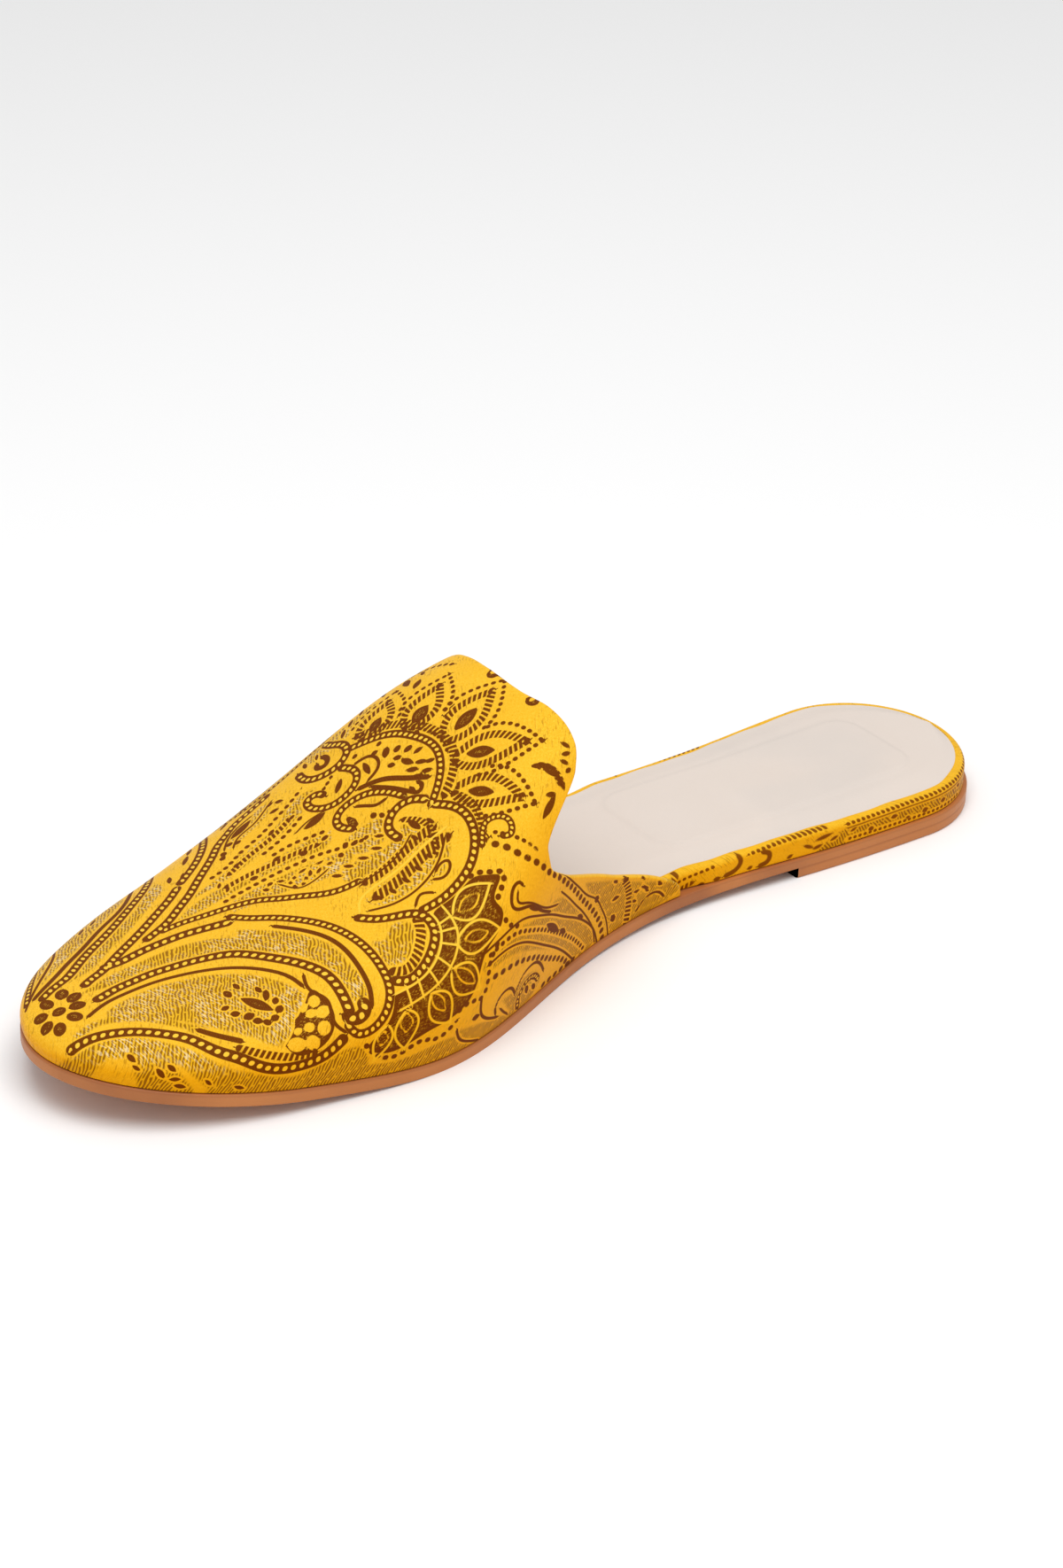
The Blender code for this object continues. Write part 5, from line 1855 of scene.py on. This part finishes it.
@dataclass(frozen=True)
class Vamp:
    """The one-piece upper: its brocade with turned edges, and the lining behind it."""

    rows: int = 275
    columns: int = 316
    fold_steps: int = 6
    tuck_rows: int = 6
    setback: float = 0.4
    feather_roll: float = 0.35
    crown_steps: int = 4000
    lining_steps: int = 120
    lining_skip: int = 2
    lining_gap: float = 0.12

    def face(self, rows: int, columns: int) -> tuple[np.ndarray, np.ndarray, np.ndarray]:
        """The outer face as a net, rows from the topline to the toe.

        Args:
            rows: Steps along each strip.
            columns: Steps round the foot.

        Returns:
            Points in mm, and the along and signed around of each.
        """
        turns = np.linspace(-1.0, 1.0, columns + 1)
        around = np.abs(turns)
        start = np.where(turns > 0.0, LAST.topline(around, True), LAST.topline(around, False))
        start = start + self.setback / LAST.length
        crown = np.linspace(float(start[columns // 2]), 1.0, self.crown_steps + 1)
        line = LAST.vamp(crown, np.zeros_like(crown), 1.0)
        run = np.concatenate([[0.0], np.cumsum(np.linalg.norm(np.diff(line, axis=0), axis=1))])
        even = np.interp(np.linspace(0.0, run[-1], rows + 1), run, crown)
        shares = (even - crown[0]) / (1.0 - crown[0])
        along = start[None, :] + (1.0 - start[None, :]) * shares[:, None]
        signed = np.repeat(turns[None, :], rows + 1, 0)
        side = np.where(signed > 0.0, 1.0, -1.0)
        return LAST.vamp(along, np.abs(signed), side), along, signed

    def folded(self, points: np.ndarray) -> np.ndarray:
        """The face with its topline and its feather edges turned in.

        Args:
            points: The outer face.

        Returns:
            The wider net: fold and tuck rows come first, and feather folds on both sides.
        """
        radius = LAST.wall / 2.0
        normal = outward(points)
        turns = [math.pi * k / self.fold_steps for k in range(1, self.fold_steps + 1)]
        back = points[0] - points[1]
        back -= (back * normal[0]).sum(-1, keepdims=True) * normal[0]
        back /= np.linalg.norm(back, axis=-1, keepdims=True)
        rim = [
            points[0] - normal[0] * radius * (1.0 - math.cos(t)) + back * radius * math.sin(t)
            for t in turns
        ]
        tuck = [points[k] - normal[k] * 2.0 * radius for k in range(1, self.tuck_rows + 1)]
        tall = np.concatenate([np.array((rim + tuck)[::-1]), points])
        rising = [max(math.cos(t), 0.0) for t in turns[::-1]]
        firm = np.array([0.0] * self.tuck_rows + rising + [1.0] * len(points))
        normals = np.concatenate([np.repeat(normal[:1], len(rim) + len(tuck), 0), normal])
        sides = []
        for edge, inward in ((0, 1), (-1, -2)):
            down = tall[:, edge] - tall[:, inward]
            down /= np.maximum(np.linalg.norm(down, axis=-1, keepdims=True), 1e-9)
            deep = (radius * firm)[:, None]
            folds = [
                tall[:, edge]
                - normals[:, edge] * deep * (1.0 - math.cos(t))
                + down * self.feather_roll * deep * math.sin(t)
                for t in turns
            ]
            sides.append(np.stack(folds[::-1] if edge == 0 else folds, 1))
        return np.concatenate([sides[0], tall, sides[1]], 1)

    def cloth(self) -> bpy.types.Object:
        """The brocade as a mesh object, with the design woven in.

        Returns:
            The object.
        """
        points, along, signed = self.face(self.rows, self.columns)
        net = self.folded(points)
        pad = ((net.shape[0] - points.shape[0], 0), (self.fold_steps, self.fold_steps))
        along = np.pad(along, pad, mode="edge")
        signed = np.pad(signed, pad, mode="edge")
        chart_of = ClothChart.drawn_on()
        arcs = [chart_of.arc(along, np.abs(signed), side) for side in (1.0, -1.0)]
        arc = np.where(signed > 0.0, arcs[0], arcs[1])
        chart = np.stack([(1.0 - along) * LAST.length, arc], -1)
        flat = (net.reshape(-1, 3), outward(net).reshape(-1, 3), chart.reshape(-1, 2))
        cloth = Brocade(*flat, chart_of.points)
        weave_paisley(cloth)
        return grid_piece("brocade_vamp", net, False, cloth.layers(net.shape[:2]))

    def make(self, brocade: bpy.types.Material, lining: bpy.types.Material) -> None:
        """Builds and dresses the upper.

        Args:
            brocade: The outer cloth.
            lining: The lining's leather.
        """
        fit(self.cloth(), brocade, "brocade", "upper")
        inner, _, _ = self.face(self.lining_steps, self.lining_steps)
        inner = inner - outward(inner) * (LAST.wall - self.lining_gap)
        inside = grid_piece("vamp_lining", inner[self.lining_skip :, ::-1], False, {})
        fit(inside, lining, "cream_sock")


SEAM = 0.08
HEEL_HANG = 0.8
HANG_ENDS = (0.18, 0.40)


def wrap_hang(along: np.ndarray) -> np.ndarray:
    """How far the wrap's turned edge reaches down over the outsole, most at the heel."""
    return LAST.gap - SEAM + HEEL_HANG * (1.0 - ease(along, *HANG_ENDS))


@dataclass(frozen=True)
class Sole:
    """The tan outsole and the low lift under the heel."""

    edge: float = 0.5
    under: float = 0.04
    edge_steps: int = 5
    lift_inset: float = 0.05
    lift_gap: float = 0.02
    lift_round: float = 0.02
    lift_steps: int = 4
    breast: float = 0.250

    def make(self, tan: bpy.types.Material) -> None:
        """Builds and dresses the outsole and the lift.

        Args:
            tan: The sole's leather.
        """
        outsole = FlatPiece(
            "tan_outsole",
            level_of(0.0),
            LAST.ground,
            lambda along: LAST.sole + LAST.gap - SEAM - wrap_hang(along),
            tuple(round_edge(self.edge, self.under, self.edge_steps)),
        )
        lift = FlatPiece(
            "tan_heel_lift",
            level_of(self.lift_inset),
            level_of(0.0),
            lambda along: LAST.ground(along) - self.lift_gap,
            tuple(round_edge(self.lift_round, self.edge, self.lift_steps)),
            end=self.breast,
            stations=160,
        )
        fit(outsole.build(), tan, "tan_sole", "outsole")
        fit(lift.build(), tan, "tan_sole", "heel_lift")


@dataclass(frozen=True)
class HeelPad:
    """The soft pad under the sock, seen as a low swelling with a faint outline."""

    low: float = 18.5
    high: float = 93.0
    half_width: float = 14.6
    corner: float = 7.0
    rise: float = 0.34
    soft: float = 1.2
    crown: float = 0.9
    crown_reach: float = 6.5

    def rise_at(self, points: np.ndarray, inward: np.ndarray) -> np.ndarray:
        """How far the sock's face stands above its thin edge at each point.

        Args:
            points: Points of the face, mm.
            inward: Their distances in from the rim, mm.

        Returns:
            Heights in mm.
        """
        middle = np.array([(self.low + self.high) / 2.0, 0.0])
        reach = np.array([(self.high - self.low) / 2.0, self.half_width]) - self.corner
        swing = OUTLINE_MIDDLE(points[:, 0] / LAST.length)
        place = np.stack([points[:, 0], points[:, 1] - swing], -1)
        past = np.abs(place - middle) - reach
        outside = np.linalg.norm(np.maximum(past, 0.0), axis=1)
        away = outside + np.minimum(past.max(axis=1), 0.0) - self.corner
        crowned = self.crown * ease(inward, 0.0, self.crown_reach)
        return crowned + self.rise * (1.0 - ease(away, -self.soft, 0.0))


@dataclass(frozen=True)
class Footbed:
    """The wrapped board and the sock laid on it."""

    wrap_round: float = 1.5
    wrap_steps: int = 8
    wrap_wall: int = 9
    under: float = 0.5
    setback: float = 2.0
    toe_setback: float = 3.0
    sock: float = 0.16
    sock_round: float = 0.1
    sock_under: float = 0.03
    sock_steps: int = 4
    waver: float = 0.16
    long_wave: float = 61.0
    short_wave: float = 143.0
    short_share: float = 0.6

    def sock_inset(self, along: np.ndarray) -> np.ndarray:
        """The sock follows the board's edge with a hand-cut waver and ends under the nose.

        Args:
            along: Places along the shoe.

        Returns:
            Insets from the sole's edge, mm.
        """
        cut = self.short_share * np.sin(self.short_wave * along + 1.0)
        wave = self.waver * (np.sin(self.long_wave * along) + cut) * ease(along, 0.02, 0.08)
        nose = self.toe_setback * ease(along, 0.85, 1.0)
        return LAST.board_inset(along) + self.setback + wave + nose

    def board(self) -> bpy.types.Object:
        """The board in its wrap, with the strip of brocade woven in.

        Returns:
            The object.
        """
        board = FlatPiece(
            "wrapped_footbed",
            LAST.board_inset,
            lambda along: LAST.feather(along) - wrap_hang(along),
            lambda along: LAST.board(along) + wrap_hang(along),
            tuple(round_edge(self.wrap_round, self.under, self.wrap_steps, self.wrap_wall)),
            stations=1120,
            across=12,
        )
        grid, sheet = board.grid()
        flat = sheet.reshape(-1, 3)[:, :2]
        normals = np.tile((0.0, 0.0, 1.0), (len(flat), 1))
        cloth = Brocade(three(flat), normals, flat, three)
        weave_wrap(cloth)
        return grid_piece(board.name, grid, True, cloth.layers(grid.shape[:2]))

    def make(self, brocade: bpy.types.Material, leather: bpy.types.Material) -> None:
        """Builds and dresses the board and the sock.

        Args:
            brocade: The wrap's cloth.
            leather: The sock's leather.
        """
        sock = FlatPiece(
            "cream_insole",
            self.sock_inset,
            lambda along: LAST.feather(along) + LAST.board(along) - SEAM,
            level_of(self.sock),
            tuple(round_edge(self.sock_round, self.sock_under, self.sock_steps)),
            across=60,
            relief=HeelPad().rise_at,
        )
        fit(self.board(), brocade, "brocade", "footbed")
        fit(sock.build(), leather, "cream_sock", "insole")


# Studio


@dataclass(frozen=True)
class Studio:
    """A pale floor, soft light and the camera's place."""

    turn: float = 37.6312
    height: float = 28.9897
    roll: float = 1.46538
    distance: float = 952.609
    lens: float = 98.902
    near_clip: float = 0.05
    aim: tuple[float, float, float] = (125.0, 2.5808, 34.202)
    floor_size: float = 6.0
    floor_shade: float = 0.95
    floor_roughness: float = 0.9
    floor_specular: float = 0.1
    world_level: float = 0.60
    key_place: tuple[float, float, float] = (0.15, 0.26, 1.0)
    key_size: float = 0.8
    key_power: float = 7.5

    def camera(self) -> None:
        """The camera, looking at the inner side from above the toe."""
        turn, height, roll = (math.radians(v) for v in (self.turn, self.height, self.roll))
        level = math.cos(height)
        back = Vector((math.sin(turn) * level, math.cos(turn) * level, math.sin(height)))
        right = (-back).cross(Vector((0.0, 0.0, 1.0))).normalized()
        up = right.cross(-back)
        upright = Matrix((right, up, back)).transposed()
        tilt = Matrix.Rotation(roll, 3, "Z")
        data = bpy.data.cameras.new("camera")
        data.lens = self.lens
        data.clip_start = self.near_clip
        camera = bpy.data.objects.new("camera", data)
        place = (Vector(np.array(self.aim) + OFFSET) + back * self.distance) * MM
        camera.matrix_world = Matrix.Translation(place) @ (upright @ tilt).to_4x4()
        bpy.context.scene.collection.objects.link(camera)
        bpy.context.scene.camera = camera

    def key(self) -> None:
        """The soft square lamp that faces the shoe."""
        data = bpy.data.lights.new("key", "AREA")
        data.size = self.key_size
        data.energy = self.key_power
        lamp = bpy.data.objects.new("key", data)
        lamp.location = self.key_place
        lamp.rotation_euler = (-Vector(self.key_place)).to_track_quat("-Z", "Y").to_euler()
        bpy.context.scene.collection.objects.link(lamp)

    def floor(self) -> None:
        """The floor, white and matt."""
        mesh = bpy.data.meshes.new("floor")
        half = self.floor_size / 2.0
        corners = [(-half, -half, 0), (half, -half, 0), (half, half, 0), (-half, half, 0)]
        mesh.from_pydata(corners, [], [(0, 1, 2, 3)])
        floor = bpy.data.objects.new("floor", mesh)
        made = Weaver("pale_floor")
        made.plain(Roughness=self.floor_roughness, Specular_IOR_Level=self.floor_specular)
        made.plain(Base_Color=Shade(*[self.floor_shade] * 3).full())
        mesh.materials.append(made.material)
        bpy.context.scene.collection.objects.link(floor)

    def set_up(self) -> None:
        """Builds the studio."""
        scene = bpy.context.scene
        scene.view_settings.view_transform = "Standard"
        world = bpy.data.worlds.new("studio")
        world.use_nodes = True
        sky = world.node_tree.nodes["Background"]
        sky.inputs[0].default_value = (1.0, 1.0, 1.0, 1.0)
        sky.inputs[1].default_value = self.world_level
        scene.world = world
        self.floor()
        self.camera()
        self.key()


def main() -> None:
    """Builds and dresses the shoe, then the studio round it."""
    logging.basicConfig(level=logging.INFO, format="%(message)s")
    Sole().make(TAN_SOLE.material())
    Footbed().make(WRAP_BROCADE.material(), CREAM_SOCK.material())
    Vamp().make(VAMP_BROCADE.material(), CREAM_LINING.material())
    Studio().set_up()


if __name__ == "__main__":
    main()
